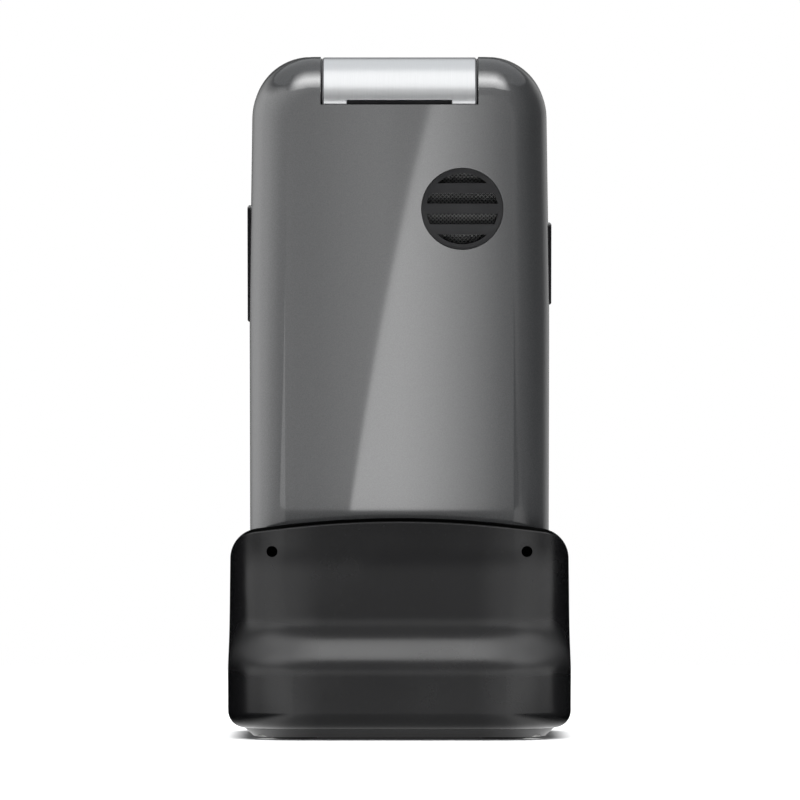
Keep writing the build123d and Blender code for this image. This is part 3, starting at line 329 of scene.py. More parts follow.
# %% Backdrop
BACKDROP = (1.0, 1.0, 1.0, 1.0)
ROOM_ABOVE = (0.72, 0.735, 0.75, 1.0)
ROOM_LEVEL = (0.010, 0.010, 0.011, 1.0)
ROOM_RISE = (radians(2), radians(52))
world = bpy.context.scene.world or bpy.data.worlds.new("room")
bpy.context.scene.world = world
world.use_nodes = True
room = world.node_tree
room.nodes.clear()
up = axes(room, add(room, "TexCoord").outputs["Generated"])["Z"]
height = between(room, up, *[sin(angle) for angle in ROOM_RISE], smooth=True)
walls = mix(room, "RGBA", height, ROOM_LEVEL, ROOM_ABOVE)
seen = add(room, "LightPath").outputs["Is Camera Ray"]
sky = add(room, "Background", mix(room, "RGBA", seen, walls, BACKDROP))
add(room, "OutputWorld", sky.outputs[0])
print("room above:", ROOM_ABOVE[:3], "at eye level:", ROOM_LEVEL[:3])

# %% [markdown]
# ## Floor
# A polished object shows the floor as well as the room. The floor has two looks: a matt pale one that the
# camera sees, and a pattern of light that only a reflection sees. Far from the dock the pattern goes by
# azimuth, dark straight ahead and brighter to both sides, and it puts the soft upright bands on the dock's
# foot. Close to the dock it goes by how far it lies to the left or right, and it carries those bands
# round the rounded bottom edge. Both looks fade out away from the object.

# %% Floor
FLOOR_FADE = (0.10, 0.34)
FLOOR_TONES = [(0.0, 0.86), (1.0, 0.92)]
GLOSS_FADE = (0.17, 0.24)
GLOSS_BEHIND = 0.10
GLOSS_BRIGHT = 2.0
GLOSS_BY_AZIMUTH = [(0, 0.50), (6, 0.52), (11, 1.5), (18, 2.0), (42, 2.0), (60, 0.8), (85, 0.0)]
NEAR_REACH = 60
NEAR_BY_X = [(0, 0.25), (15, 0.25), (20, 0.42), (24, 0.75), (28, 0.75), (31, 0.35), (34, 0.08), (37, 0.0)]
NEAR_LIMITS = (-45, -80)
FLOOR_SIZE = 2.4


def fading(tree, surface, distance, limits):
    """A surface that turns clear as the distance from the object passes the limits, in metres."""
    fade = between(tree, distance, *limits, smooth=True)
    clear = add(tree, "BsdfTransparent").outputs[0]
    return add(tree, "MixShader", fade, surface.outputs[0], clear).outputs[0]


pale_floor, tree = bare_material("pale_floor")
place = own_place(tree)
speckle = add(tree, "TexNoise", Vector=place, Scale=900.0, Detail=3.0)
matt = add(tree, "BsdfDiffuse", ramp(tree, speckle.outputs["Fac"], FLOOR_TONES))
x, y, _ = axes(tree, place)
ahead = maths(tree, "MULTIPLY_ADD", y, -1.0, GLOSS_BEHIND)
azimuth = maths(tree, "DIVIDE", maths(tree, "ABSOLUTE", maths(tree, "ARCTAN2", x, ahead)), pi)
by_azimuth = ramp(tree, azimuth, [(degrees / 180, level / GLOSS_BRIGHT) for degrees, level in GLOSS_BY_AZIMUTH])
aside = maths(tree, "DIVIDE", maths(tree, "ABSOLUTE", x), NEAR_REACH * MM)
by_x = ramp(tree, aside, [(mm / NEAR_REACH, level) for mm, level in NEAR_BY_X])
pattern = mix(tree, "RGBA", band(tree, y, *NEAR_LIMITS), by_x, by_azimuth)
glow = add(tree, "Emission", pattern, GLOSS_BRIGHT)
distance = add(tree, "VectorMath", place, operation="LENGTH").outputs["Value"]
glossy_ray = add(tree, "LightPath").outputs["Is Glossy Ray"]
show(tree, add(tree, "MixShader", glossy_ray, fading(tree, matt, distance, FLOOR_FADE),
               fading(tree, glow, distance, GLOSS_FADE)))
start_fresh()
bpy.ops.mesh.primitive_plane_add(size=FLOOR_SIZE, location=(0, 0, 0))
floor = named("floor")
edit_whole(floor)
bpy.ops.mesh.subdivide(number_cuts=3)
start_fresh()
floor.data.materials.append(pale_floor)
print("floor:", len(floor.data.polygons), "faces")

# %% [markdown]
# ## Lights with a reach
# The photograph is lit as products are: each surface has its own soft light, and the black dock sees
# little of the ones for the phone. Blender can do this with light linking, where a light is given a
# collection of the things that it may reach. Each light is placed by where it stands as seen from the
# object, with an azimuth to the right of the camera, an elevation, and a width and height in degrees.

# %% Soft lights
LIT_POINT = Vector((0.0, -0.012, 0.065))
BARREL_LIP = Vector((0.0, -0.016, 0.109))
PAINTED = ["back_cover", "front_cover", "lid_outer_cover"]
DOCK = ["dock_shell", "dock_base_plate"]
BARREL = ["hinge_barrel"]
USER_SIDE = [name for name in nodes if name not in PAINTED[:2] + DOCK + BARREL]


def reach_only(lamp, names, state="INCLUDE"):
    """Lets a light reach only the named parts, or all but the named parts with the state EXCLUDE."""
    chosen = bpy.data.collections.new(lamp.name + "_reach")
    for name in names:
        chosen.objects.link(nodes[name])
    for item in chosen.collection_objects:
        item.light_linking.link_state = state
    lamp.light_linking.receiver_collection = chosen


def soft_light(name, azimuth, elevation, spread, radiance, names, state="INCLUDE", sheen_only=False, away=0.8,
               lit_point=LIT_POINT):
    """A rectangular light of that radiance. spread is its width and height, in degrees."""
    a, e = radians(azimuth), radians(elevation)
    way = Vector((sin(a) * cos(e), -cos(a) * cos(e), sin(e)))
    size = [2 * away * tan(radians(angle) / 2) for angle in spread]
    start_fresh()
    bpy.ops.object.light_add(type="AREA", location=lit_point + way * away,
                             rotation=way.to_track_quat("Z", "Y").to_euler())
    lamp = named(name)
    lamp.data.shape = "RECTANGLE"
    lamp.data.size, lamp.data.size_y = size
    lamp.data.energy = radiance * pi * size[0] * size[1]
    lamp.visible_camera = False
    lamp.visible_diffuse = not sheen_only
    reach_only(lamp, names, state)
    return lamp


soft_light("overhead", 0, 93, (100, 60), 4.2, BARREL + PAINTED, "EXCLUDE")
soft_light("overhead_paint", 0, 80, (62, 76), 2.2, PAINTED).visible_glossy = False
soft_light("barrel_light", 0, 45, (100, 60), 1.25, BARREL)
soft_light("barrel_low", 0, -4, (100, 34), 0.42, BARREL)
soft_light("barrel_lip", 0, -33, (44, 12), 1.7, BARREL, sheen_only=True, away=0.12, lit_point=BARREL_LIP)
soft_light("dock_front", 0, 2, (18, 18), 0.75, DOCK, sheen_only=True)
soft_light("dock_high", 0, 36, (110, 52), 0.7, DOCK, sheen_only=True, away=0.5)
soft_light("dock_left", -55, 6, (98, 30), 1.7, DOCK, sheen_only=True, away=0.5)
soft_light("dock_right", 55, 6, (98, 30), 1.7, DOCK, sheen_only=True, away=0.5)
soft_light("user_left", -142, 26, (46, 50), 2.2, USER_SIDE)
soft_light("user_right", 148, 32, (46, 50), 1.6, USER_SIDE)

# %% [markdown]
# ## The card that the back cover mirrors
# The phone leans towards the camera, so its glossy back looks down at the floor in front of the dock,
# outside the picture. In the photograph a grey card with a slanting bright sheet lies there: it puts a
# soft grey on the left of the cover and a brighter slanting band on the right of it, which fades out
# towards the edge. Here the card is one plane that only the painted covers can mirror. Its pattern is
# worked out from its own coordinates: x is first brought back from the card's perspective to the
# cover's width, one ramp gives the grey side, another the bright side, and the slanting edge mixes them.

# %% Card for reflections
CARD_PLACE = (0, -0.60, 0.003)
CARD_SIZE = (0.16, 0.84, 1)
CARD_SPREAD = -0.82
CARD_EDGE_AT_ORIGIN = -0.01407
CARD_EDGE_SLOPE = -0.0286
CARD_EDGE_SOFTNESS = 0.0004
CARD_BRIGHT = 6.6
CARD_REACH = 28.0
GREY_SIDE = [(-24.0, 0.42), (-21.7, 0.27), (-18.1, 0.24), (-14.5, 0.26), (-10.9, 0.31), (-7.2, 0.35),
             (-3.6, 0.38), (0.0, 0.34), (3.6, 0.31), (12.0, 0.30)]
BRIGHT_SIDE = [(-10.0, 1.0), (-3.6, 1.0), (0.0, 0.99), (3.6, 0.89), (7.2, 0.74), (10.9, 0.56), (14.5, 0.38),
               (18.1, 0.19), (21.7, 0.06), (24.6, 0.015)]


def mirrored_only(stage_piece):
    """Makes a glowing card of the stage show in the reflections of the painted covers and nowhere else."""
    stage_piece.visible_camera = False
    stage_piece.visible_diffuse = False
    stage_piece.visible_shadow = False
    stage_piece.visible_transmission = False
    reach_only(stage_piece, PAINTED)


def side_ramp(tree, across, stops):
    """Grey levels over the cover's width, from stops of (x in mm, level)."""
    return ramp(tree, across, [((x + CARD_REACH) / (2 * CARD_REACH), level) for x, level in stops])


slanting_card, tree = bare_material("slanting_card")
x, y, _ = axes(tree, own_place(tree))
across = maths(tree, "DIVIDE", x, maths(tree, "MULTIPLY_ADD", y, CARD_SPREAD, 1.0))
edge = maths(tree, "MULTIPLY_ADD", y, CARD_EDGE_SLOPE, CARD_EDGE_AT_ORIGIN)
beyond = between(tree, maths(tree, "SUBTRACT", across, edge), -CARD_EDGE_SOFTNESS, CARD_EDGE_SOFTNESS, smooth=True)
share = between(tree, across, -CARD_REACH * MM, CARD_REACH * MM)
both = mix(tree, "RGBA", beyond, side_ramp(tree, share, GREY_SIDE), side_ramp(tree, share, BRIGHT_SIDE))
show(tree, add(tree, "Emission", both, CARD_BRIGHT))
start_fresh()
bpy.ops.mesh.primitive_plane_add(size=1.0, location=CARD_PLACE)
card = named("reflection_card")
card.scale = CARD_SIZE
settle(card, HERE)
card.data.materials.append(slanting_card)
mirrored_only(card)
print("card width, m:", round(card.dimensions.x, 3), "length:", round(card.dimensions.y, 3))

# %% [markdown]
# ## The ring that the rounded edges mirror
# The rounded edges of the cover turn their reflection through half the room. In the photograph the left
# edge carries a soft light band and the right edge is dark with a thin bright rim. A ring round the
# object gives both: it glows by azimuth, and only the paint mirrors it. The dock's lights stand inside the
# ring, because a card hides what is behind it even from the parts that can't see its glow. A small card
# high in front puts the soft glints on the two shoulders beside the hinge.

# %% Ring for the edges
RING_RADIUS, RING_HEIGHT, RING_MIDDLE = 0.92, 1.24, 0.25
RING_SOFT_EDGE = (RING_HEIGHT / 2, RING_HEIGHT / 5)
RING_BRIGHT = 4.2
RING_GLOW = [(-180, 0.05), (-162, 0.10), (-140, 0.7), (-120, 1.9), (-97, 3.3), (-66, 3.5), (-40, 2.6), (-22, 1.9),
             (-8, 1.7), (8, 1.1), (23, 0.45), (60, 0.12), (86, 0.10), (106, 0.15), (128, 0.70), (150, 0.65),
             (166, 0.20), (180, 0.05)]


def off_centre(tree, value, middle):
    """How far a value is from the middle."""
    return maths(tree, "ABSOLUTE", maths(tree, "SUBTRACT", value, middle))


# Light by azimuth, softer towards the ring's upper and lower edge.
ring_by_azimuth, tree = bare_material("ring_by_azimuth")
x, y, z = axes(tree, own_place(tree))
azimuth = maths(tree, "ARCTAN2", x, maths(tree, "MULTIPLY", y, -1.0))
level = ramp(tree, between(tree, azimuth, -pi, pi),
             [((degrees + 180) / 360, level / RING_BRIGHT) for degrees, level in RING_GLOW])
strength = between(tree, off_centre(tree, z, RING_MIDDLE), *RING_SOFT_EDGE, high=RING_BRIGHT, smooth=True)
show(tree, add(tree, "Emission", level, strength))
start_fresh()
bpy.ops.mesh.primitive_cylinder_add(vertices=96, radius=RING_RADIUS, depth=RING_HEIGHT, end_fill_type="NOTHING",
                                    location=(0, 0, RING_MIDDLE))
ring = named("edge_ring")
settle(ring, HERE)
ring.data.materials.append(ring_by_azimuth)
mirrored_only(ring)
print("ring stops:", len(RING_GLOW))

# %% Card for the shoulders
GLINT_BRIGHT = 14.0
GLINT_BY_HEIGHT = [(0.02, 0.08), (0.19, 0.30), (0.33, 0.58), (0.45, 0.90), (0.55, 1.0), (0.685, 0.62), (0.83, 0.28),
                   (1.0, 0.06)]
GLINT_SIDES = (0.5, 0.18)
GLINT_ELEVATION = radians(41)
GLINT_AWAY = 0.88
GLINT_SIZE = (1.08, 1.19)
# Brightest just above its middle, by the card's own UV map, and fading to both sides.
shoulder_glint, tree = bare_material("shoulder_glint")
u, v, _ = axes(tree, add(tree, "TexCoord").outputs["UV"])
strength = between(tree, off_centre(tree, u, 0.5), *GLINT_SIDES, high=GLINT_BRIGHT, smooth=True)
show(tree, add(tree, "Emission", ramp(tree, v, GLINT_BY_HEIGHT), strength))
glint_way = Vector((0, -cos(GLINT_ELEVATION), sin(GLINT_ELEVATION)))
start_fresh()
bpy.ops.mesh.primitive_plane_add(size=1.0, location=(0, 0, 0))
glint = named("shoulder_card")
settle(glint, Matrix.Translation(LIT_POINT + glint_way * GLINT_AWAY)
       @ glint_way.to_track_quat("Z", "Y").to_matrix().to_4x4() @ Matrix.Diagonal((*GLINT_SIZE, 1, 1)))
glint.data.materials.append(shoulder_glint)
mirrored_only(glint)
print("shoulder card at height, m:", round(glint.data.vertices[0].co.z, 2))

# %% [markdown]
# ## Finishes
# Most finishes are one Principled shader whose roughness and normal come from the shared groups. One
# helper makes the plain plastics and metals, and another one the polished finishes.

# %% Helpers for materials
TONE_LIMITS = (0.35, 0.65)
TONE_PATCHES, GLOSS_TONE_PATCHES = 120.0, 45.0
GLOSS_WAVES = 60.0


def fill(tree, node, **sockets):
    """Feeds a node's sockets by name. Underscores in the names stand for spaces."""
    for key, value in sockets.items():
        feed(tree, node.inputs[key.replace("_", " ")], value)
    return node


def shader(name, **sockets):
    """A new material with a Principled shader."""
    material = bpy.data.materials.new(name)
    material.use_nodes = True
    tree = material.node_tree
    return material, tree, fill(tree, tree.nodes["Principled BSDF"], **sockets)


def group(tree, shared, **values):
    """Places a shared group in a material with this finish's own values."""
    return fill(tree, add(tree, "Group", node_tree=shared), **values).outputs


def two_tone(tree, dark, light, scale, detail=3.0):
    """A colour that drifts between two close tones, for the unevenness of moulded or painted parts."""
    noise = add(tree, "TexNoise", Vector=own_place(tree), Scale=scale, Detail=detail)
    return ramp(tree, noise.outputs["Fac"], list(zip(TONE_LIMITS, (dark, light))))


def finish(material, *names):
    """Gives CAD parts a finish."""
    for name in names:
        slots = nodes[name].data.materials
        slots.clear()
        slots.append(material)


def moulded(name, dark, light, roughness, grain=4500.0, depth=0.12, **sockets):
    """A finish for plain moulded plastic, rubber or sprayed metal: two close tones and a fine grain."""
    material, tree, body = shader(name, **sockets)
    pits = group(tree, moulded_grain, Scale=grain, Depth=depth, Roughness=roughness, Variation=0.08)
    fill(tree, body, Base_Color=two_tone(tree, dark, light, TONE_PATCHES), Roughness=pits["Roughness"],
         Normal=pits["Normal"])
    return material


def glossy(name, dark, light, gloss, dulling=0.10, wave=0.03, **sockets):
    """A finish for polished plastic: a dark body under a smooth gloss with a little dust and waviness."""
    material, tree, body = shader(name, **sockets)
    dust = group(tree, dust_and_smears, Gloss=gloss, Dulling=dulling)
    swell = group(tree, slow_waviness, Scale=GLOSS_WAVES, Height=wave)
    fill(tree, body, Base_Color=two_tone(tree, dark, light, GLOSS_TONE_PATCHES), Roughness=dust["Roughness"],
         Normal=swell["Normal"])
    return material


print("helpers for finishes are ready")

# %% Plain finishes for the inner parts
finish(moulded("battery_wrap", (0.030, 0.040, 0.055), (0.040, 0.050, 0.068), 0.38), "battery")
finish(moulded("board_lacquer", (0.010, 0.050, 0.030), (0.014, 0.070, 0.040), 0.35), "main_board", "dock_board")
finish(moulded("dome_film", (0.55, 0.56, 0.52), (0.62, 0.62, 0.58), 0.30), "dome_sheet")
finish(moulded("driver_can", (0.10, 0.10, 0.10), (0.16, 0.16, 0.16), 0.32, Metallic=0.8),
       "loudspeaker", "vibration_motor", "hinge_module", "power_socket", "dock_power_socket")
finish(moulded("bright_steel", (0.50, 0.50, 0.49), (0.60, 0.60, 0.58), 0.26, 9000.0, 0.05, Metallic=1.0),
       "base_screws", "lid_screws", "dock_screws", "hinge_shaft", "hinge_pin", "dock_ballast")
finish(moulded("gilded_contact", (0.78, 0.55, 0.24), (0.88, 0.64, 0.30), 0.22, 9000.0, 0.04, Metallic=1.0),
       "charge_pads", "charge_pin_left", "charge_pin_right")
finish(moulded("bush_plastic", (0.72, 0.71, 0.67), (0.78, 0.77, 0.73), 0.42), "hinge_bush", "dock_pin_block")
rubber = moulded("soft_rubber", (0.016, 0.016, 0.017), (0.026, 0.026, 0.027), 0.72, 6000.0, 0.2,
                 Specular_IOR_Level=0.35)
finish(rubber, "dock_feet", "lid_bumpers")
print("plain finishes:", len(bpy.data.materials))

# %% [markdown]
# ## Grey paint on the covers
# The covers are plastic sprayed a cool metallic grey and lacquered. The lacquer is what mirrors the room,
# so the shader has a full clear coat over a satin base with fine flakes in it. The inner face of the
# keypad half is satin black, and one moulding carries both, so a mask across the thickness of the phone
# switches from paint to black just under the deck.

# %% Flakes in the paint
PAINT_DARK = (0.040, 0.041, 0.0425)
PAINT_LIGHT = (0.051, 0.052, 0.0535)
PAINT_METALLIC = 0.15


def lacquered(name):
    """Metallic grey paint with flakes in it, under a clear coat. Also returns what feeds its base."""
    material, tree, body = shader(name, Metallic=PAINT_METALLIC, Coat_Weight=1.0, Coat_Roughness=0.03, Coat_IOR=1.5,
                                  Specular_IOR_Level=0.12)
    flakes = group(tree, moulded_grain, Scale=7000.0, Depth=0.06, Roughness=0.48, Variation=0.05)
    base = (two_tone(tree, PAINT_DARK, PAINT_LIGHT, 5200.0, detail=1.0), flakes["Roughness"], flakes["Normal"])
    fill(tree, body, Base_Color=base[0], Roughness=base[1], Normal=base[2])
    return material, tree, body, base


finish(lacquered("grey_lacquer")[0], "back_cover", "lid_outer_cover")
print("paint tone:", PAINT_LIGHT)

# %% Paint outside, black inside
DECK_Y = 10.4
PAINT_END_Y = DECK_Y - 0.25
PAINT_END_SOFTNESS = 0.05
DECK_TONES = ((0.012, 0.012, 0.013), (0.017, 0.017, 0.018))
DECK_GRAIN, DECK_GRAIN_DEPTH = 5200.0, 0.16


def upright_place(tree):
    """Object coordinates as they are when the phone stands straight at the origin."""
    return add(tree, "Mapping", own_place(tree), vector_type="TEXTURE", Location=PHONE_FOOT,
               Rotation=(PHONE_LEAN, 0, 0)).outputs[0]


cover_and_deck, tree, body, (tone, rough, normal) = lacquered("cover_and_deck")
black = two_tone(tree, *DECK_TONES, 160.0)
grain = group(tree, moulded_grain, Scale=DECK_GRAIN, Depth=DECK_GRAIN_DEPTH, Roughness=0.46, Variation=0.08)
deck = between(tree, axes(tree, upright_place(tree))["Y"], (PAINT_END_Y - PAINT_END_SOFTNESS) * MM,
               (PAINT_END_Y + PAINT_END_SOFTNESS) * MM)
fill(tree, body, Base_Color=mix(tree, "RGBA", deck, tone, black),
     Roughness=mix(tree, "FLOAT", deck, rough, grain["Roughness"]),
     Normal=mix(tree, "VECTOR", deck, normal, grain["Normal"]),
     Coat_Weight=between(tree, deck, 0.0, 1.0, low=1.0, high=0.0),
     Metallic=between(tree, deck, 0.0, 1.0, low=PAINT_METALLIC, high=0.0))
finish(cover_and_deck, "front_cover")
finish(moulded("satin_black", *DECK_TONES, 0.44, DECK_GRAIN, DECK_GRAIN_DEPTH), "lid_inner_cover", "nav_ring")
print("paint ends at y, mm:", PAINT_END_Y)

# %% [markdown]
# ## Black parts
# The dock is polished black plastic with a satin base plate. Dust dulls the polish here and there, and
# the mould has left the surface very slightly wavy. Its finish also does three things:
# - its normals lean outward towards both sides, as if the rear wall were slightly crowned,
# - a softer gleam runs along the step at the wall's foot and fades out to both sides,
# - the upper rim and the insides of the two rear holes are painted near black and matt, as painted shade.

# %% Crown and step of the rear wall
CROWN_START, DOCK_SIDE, CROWN_LEAN = 13.5, 31.2, 0.27
GLEAM_RISE = 0.86


def product(tree, first, *others):
    """Masks multiplied together."""
    for mask in others:
        first = maths(tree, "MULTIPLY", first, mask)
    return first


def crowned(tree, x, aside):
    """What the crown adds to a normal: a lean outward that grows towards both sides."""
    crown = between(tree, aside, CROWN_START * MM, DOCK_SIDE * MM, high=CROWN_LEAN)
    return add(tree, "CombineXYZ", X=product(tree, crown, maths(tree, "SIGN", x))).outputs[0]


def stepped(tree, normal, gleam):
    """The step's normal: level, and turned upward where the gleam is."""
    level = vector(tree, "NORMALIZE", vector(tree, "MULTIPLY", normal, (1.0, 1.0, 0.0)))
    upward = add(tree, "CombineXYZ", Z=maths(tree, "MULTIPLY", gleam, GLEAM_RISE)).outputs[0]
    return vector(tree, "ADD", level, upward)


print("lean at the dock's sides:", CROWN_LEAN)

# %% Painted shade on the rim and in the holes
RIM_BAND, RIM_SIDES, RIM_FACING_UP = (31.0, 34.0), (29.5, 27.5), (0.10, 0.30)
REAR_HOLES, REAR_HOLE_R = (23.1, 33.95), 1.0
HOLE_LIMITS = (REAR_HOLE_R + 0.03, REAR_HOLE_R - 0.05)


def painted_shade_places(tree, normal, aside, z):
    """A mask of painted shade for the two rear holes and the upward-facing upper rim."""
    flat = add(tree, "CombineXYZ", X=aside, Z=z).outputs[0]
    centre = (REAR_HOLES[0] * MM, 0.0, REAR_HOLES[1] * MM)
    gap = add(tree, "VectorMath", flat, centre, operation="DISTANCE").outputs["Value"]
    hole = between(tree, gap, HOLE_LIMITS[0] * MM, HOLE_LIMITS[1] * MM)
    facing_up = between(tree, axes(tree, normal)["Z"], *RIM_FACING_UP)
    rim = product(tree, facing_up, band(tree, z, *RIM_BAND), band(tree, aside, *RIM_SIDES))
    return maths(tree, "MAXIMUM", hole, rim)


print("rear holes, mm:", REAR_HOLES)

# %% Polished black of the dock
STEP_FOOT, STEP_TOP, STEP_REAR = (8.0, 11.0), (36.0, 29.5), (-8.0, -13.0)
GLEAM_FOOT, GLEAM_TOP, GLEAM_FADE = (11.2, 16.0), (22.4, 16.0), (39.0, 23.0)
GLEAM_ENDS, GLEAM_SOFTNESS = (12.0, 27.0), 0.42
# The near black of the painted shade on the rim and in the holes.
PAINTED_SHADE_TONE, MATT_ROUGHNESS = (0.0008, 0.0008, 0.0008, 1), 0.9


def dock_polish():
    """Polished black with a crowned wall, a softly gleaming step, and painted shade that makes the rim and holes
    matt and near black.
    """
    material, tree, body = shader("polished_black", IOR=1.45)
    tone = two_tone(tree, (0.004, 0.004, 0.0045), (0.006, 0.006, 0.0065), GLOSS_TONE_PATCHES)
    dust = group(tree, dust_and_smears, Gloss=0.24, Dulling=0.10)
    swell = group(tree, slow_waviness, Scale=38.0, Height=0.02)
    normal = add(tree, "NewGeometry").outputs["Normal"]
    x, y, z = axes(tree, own_place(tree))
    aside = maths(tree, "ABSOLUTE", x)
    on_step = product(tree, band(tree, z, *STEP_FOOT), band(tree, z, *STEP_TOP), band(tree, y, *STEP_REAR))
    gleam = product(tree, band(tree, z, *GLEAM_FOOT), band(tree, z, *GLEAM_TOP), band(tree, aside, *GLEAM_FADE))
    shaped = mix(tree, "VECTOR", on_step, normal, stepped(tree, normal, gleam))
    leaning = vector(tree, "ADD", shaped, crowned(tree, x, aside))
    waved = vector(tree, "ADD", leaning, vector(tree, "SUBTRACT", swell["Normal"], normal))
    ends = product(tree, gleam, on_step, band(tree, aside, *GLEAM_ENDS))
    softened = maths(tree, "MULTIPLY_ADD", ends, GLEAM_SOFTNESS, dust["Roughness"])
    # Painted shade: where the mask is, the base turns near black and metallic, so the rim and holes reflect almost
    # nothing.
    matt = painted_shade_places(tree, normal, aside, z)
    fill(tree, body, Base_Color=mix(tree, "RGBA", matt, tone, PAINTED_SHADE_TONE), Metallic=matt,
         Roughness=mix(tree, "FLOAT", matt, softened, MATT_ROUGHNESS), Normal=vector(tree, "NORMALIZE", waved))
    return material


finish(dock_polish(), "dock_shell")
print("gleam's height, mm:", GLEAM_FOOT[1])

# %% Other black finishes
FIGURES = ("1", "2", "3", "4", "5", "6", "7", "8", "9", "star", "0", "hash")
KEYPAD = ["key_" + sign for sign in (*FIGURES, "call", "end", "soft_left", "soft_right", "ok")]
finish(moulded("satin_base_black", (0.014, 0.014, 0.015), (0.020, 0.020, 0.021), 0.36), "dock_base_plate")
finish(moulded("key_black", (0.014, 0.014, 0.015), (0.019, 0.019, 0.020), 0.30, depth=0.06, Coat_Weight=0.35,
               Coat_Roughness=0.12), *KEYPAD)
finish(moulded("side_key_black", (0.008, 0.008, 0.009), (0.011, 0.011, 0.012), 0.34, depth=0.08),
       "volume_rocker", "side_key")
finish(moulded("grille_satin", (0.052, 0.052, 0.054), (0.068, 0.068, 0.070), 0.34, depth=0.10, Metallic=0.3),
       "speaker_grille", "earpiece")
finish(glossy("camera_black", (0.006, 0.006, 0.007), (0.009, 0.009, 0.010), gloss=0.05), "camera")
mesh_wire = moulded("mesh_wire", (0.26, 0.26, 0.26), (0.38, 0.38, 0.38), 0.45, Metallic=0.3)
finish(mesh_wire, "speaker_mesh")
print("keys:", len(KEYPAD))

# %% [markdown]
# ## Bright parts
# The hinge barrel is a satin aluminium tube, brushed round its length. The fine lines that run round it
# are noise stretched off the x axis. The little lamps are milky lenses, and the screens are dark glass.

# %% Brushed barrel
BRUSH_STRETCH = (1.0, 0.03, 0.03)
BARREL_TONES = [(0.0, (0.72, 0.73, 0.74)), (1.0, (0.82, 0.83, 0.84))]
BARREL_ROUGHNESS = (0.26, 0.38)
barrel_finish, tree, body = shader("brushed_barrel", Metallic=0.85)
drawn = add(tree, "Mapping", own_place(tree), vector_type="POINT", Scale=BRUSH_STRETCH).outputs[0]
lines = add(tree, "TexNoise", Vector=drawn, Scale=9000.0, Detail=3.0, Roughness=0.6).outputs["Fac"]
bump = add(tree, "Bump", Height=lines, Strength=0.08, Distance=0.00003)
fill(tree, body, Base_Color=ramp(tree, lines, BARREL_TONES),
     Roughness=between(tree, lines, 0.0, 1.0, *BARREL_ROUGHNESS), Normal=bump.outputs[0])
finish(barrel_finish, "hinge_barrel")
print("barrel roughness:", BARREL_ROUGHNESS)

# %% Lamps and glass
SCREEN_EDGE = 0.1


def screen_window(name, middle, half_width, half_height):
    """Dark glass through which the screen that is off shows as a slightly paler rectangle, sizes in mm."""
    material = glossy(name, (0.005, 0.006, 0.007), (0.007, 0.008, 0.009), 0.03, 0.05, 0.004, Coat_Weight=0.6,
                      Coat_Roughness=0.02)
    tree = material.node_tree
    screen = two_tone(tree, (0.014, 0.017, 0.021), (0.018, 0.021, 0.026), 30.0)
    x, _, z = axes(tree, upright_place(tree))
    inside = product(tree, *[band(tree, off_centre(tree, value, centre * MM), half + SCREEN_EDGE, half - SCREEN_EDGE)
                             for value, centre, half in ((x, 0.0, half_width), (z, middle, half_height))])
    colour = tree.nodes["Principled BSDF"].inputs["Base Color"]
    feed(tree, colour, mix(tree, "RGBA", inside, colour.links[0].from_socket, screen))
    return material


finish(screen_window("main_window_glass", 52.0, 22.0, 30.0), "main_window")
finish(screen_window("outer_window_glass", 54.0, 14.5, 12.0), "outer_window")
finish(glossy("screen_glass", (0.010, 0.012, 0.016), (0.013, 0.015, 0.019), gloss=0.10, wave=0.002),
       "main_display", "outer_display")
finish(moulded("milky_lamp", (0.70, 0.70, 0.66), (0.80, 0.80, 0.77), 0.22, depth=0.04), "camera_light")
finish(moulded("pilot_lamp", (0.10, 0.22, 0.12), (0.14, 0.30, 0.17), 0.25, depth=0.04), "dock_light")
bare = [name for name, node in nodes.items() if not any(slot and slot.use_nodes for slot in node.data.materials)]
print("CAD parts without a finish:", bare)

# %% [markdown]
# ## Woven mesh behind the speaker slots
# Through the speaker's slots the photograph shows a fine mesh, woven at 45 degrees, with wires half a
# millimetre apart. The wires are real: each is a six-sided rod, cut into short lengths, whose every other
# crossing is lifted and the rest lowered. An array repeats a pair of wires, a quarter turn gives the
# cross wires, and what lies outside the disc is cut off.

# %% Picking by place
WIRE_PITCH = 0.5


def pick(mesh, parts, test):
    """In object mode, selects only those vertices or edges of a mesh that pass a test."""
    for each in (mesh.vertices, mesh.edges, mesh.polygons):
        each.foreach_set("select", [False] * len(each))
    for part in parts:
        part.select = bool(test(part))


def run_along_x(mesh, edge):
    """How far an edge runs along x."""
    start, end = (mesh.vertices[i].co for i in edge.vertices)
    return abs(end.x - start.x)


def at_crossing(x, side):
    """Whether x lies at a crossing. side is 1 for the even crossings and -1 for the odd ones."""
    pitches = x / (WIRE_PITCH * MM)
    return abs(pitches - round(pitches)) < 0.1 and (-1) ** round(pitches) == side


print("wires are apart, mm:", WIRE_PITCH)

# %% One wavy wire
WIRE_PAIRS = 14
WIRE_R, WIRE_SIDES = 0.07, 6
WIRE_SWAY = 0.05


def wavy_wire(name, phase, offset):
    """A wire along x whose crossings go up and down by turns. phase is 1 or -1."""
    length = 2 * WIRE_PAIRS * WIRE_PITCH * MM
    start_fresh()
    bpy.ops.mesh.primitive_cylinder_add(vertices=WIRE_SIDES, radius=WIRE_R * MM, depth=length,
                                        location=(0, offset * MM, 0), rotation=(0, pi / 2, 0))
    wire = settle(named(name), HERE)
    edit(wire, "EDGE")
    bpy.ops.object.mode_set(mode="OBJECT")
    pick(wire.data, wire.data.edges, lambda edge: run_along_x(wire.data, edge) > 0.9 * length)
    edit(wire, "EDGE")
    bpy.ops.mesh.subdivide(number_cuts=4 * WIRE_PAIRS - 1)
    for side in (1, -1):
        bpy.ops.object.mode_set(mode="OBJECT")
        pick(wire.data, wire.data.vertices, lambda vertex: at_crossing(vertex.co.x, side))
        edit(wire, "VERT")
        bpy.ops.transform.translate(value=(0, 0, side * phase * WIRE_SWAY * MM))
    start_fresh()
    return wire


print("wire radius, mm:", WIRE_R)

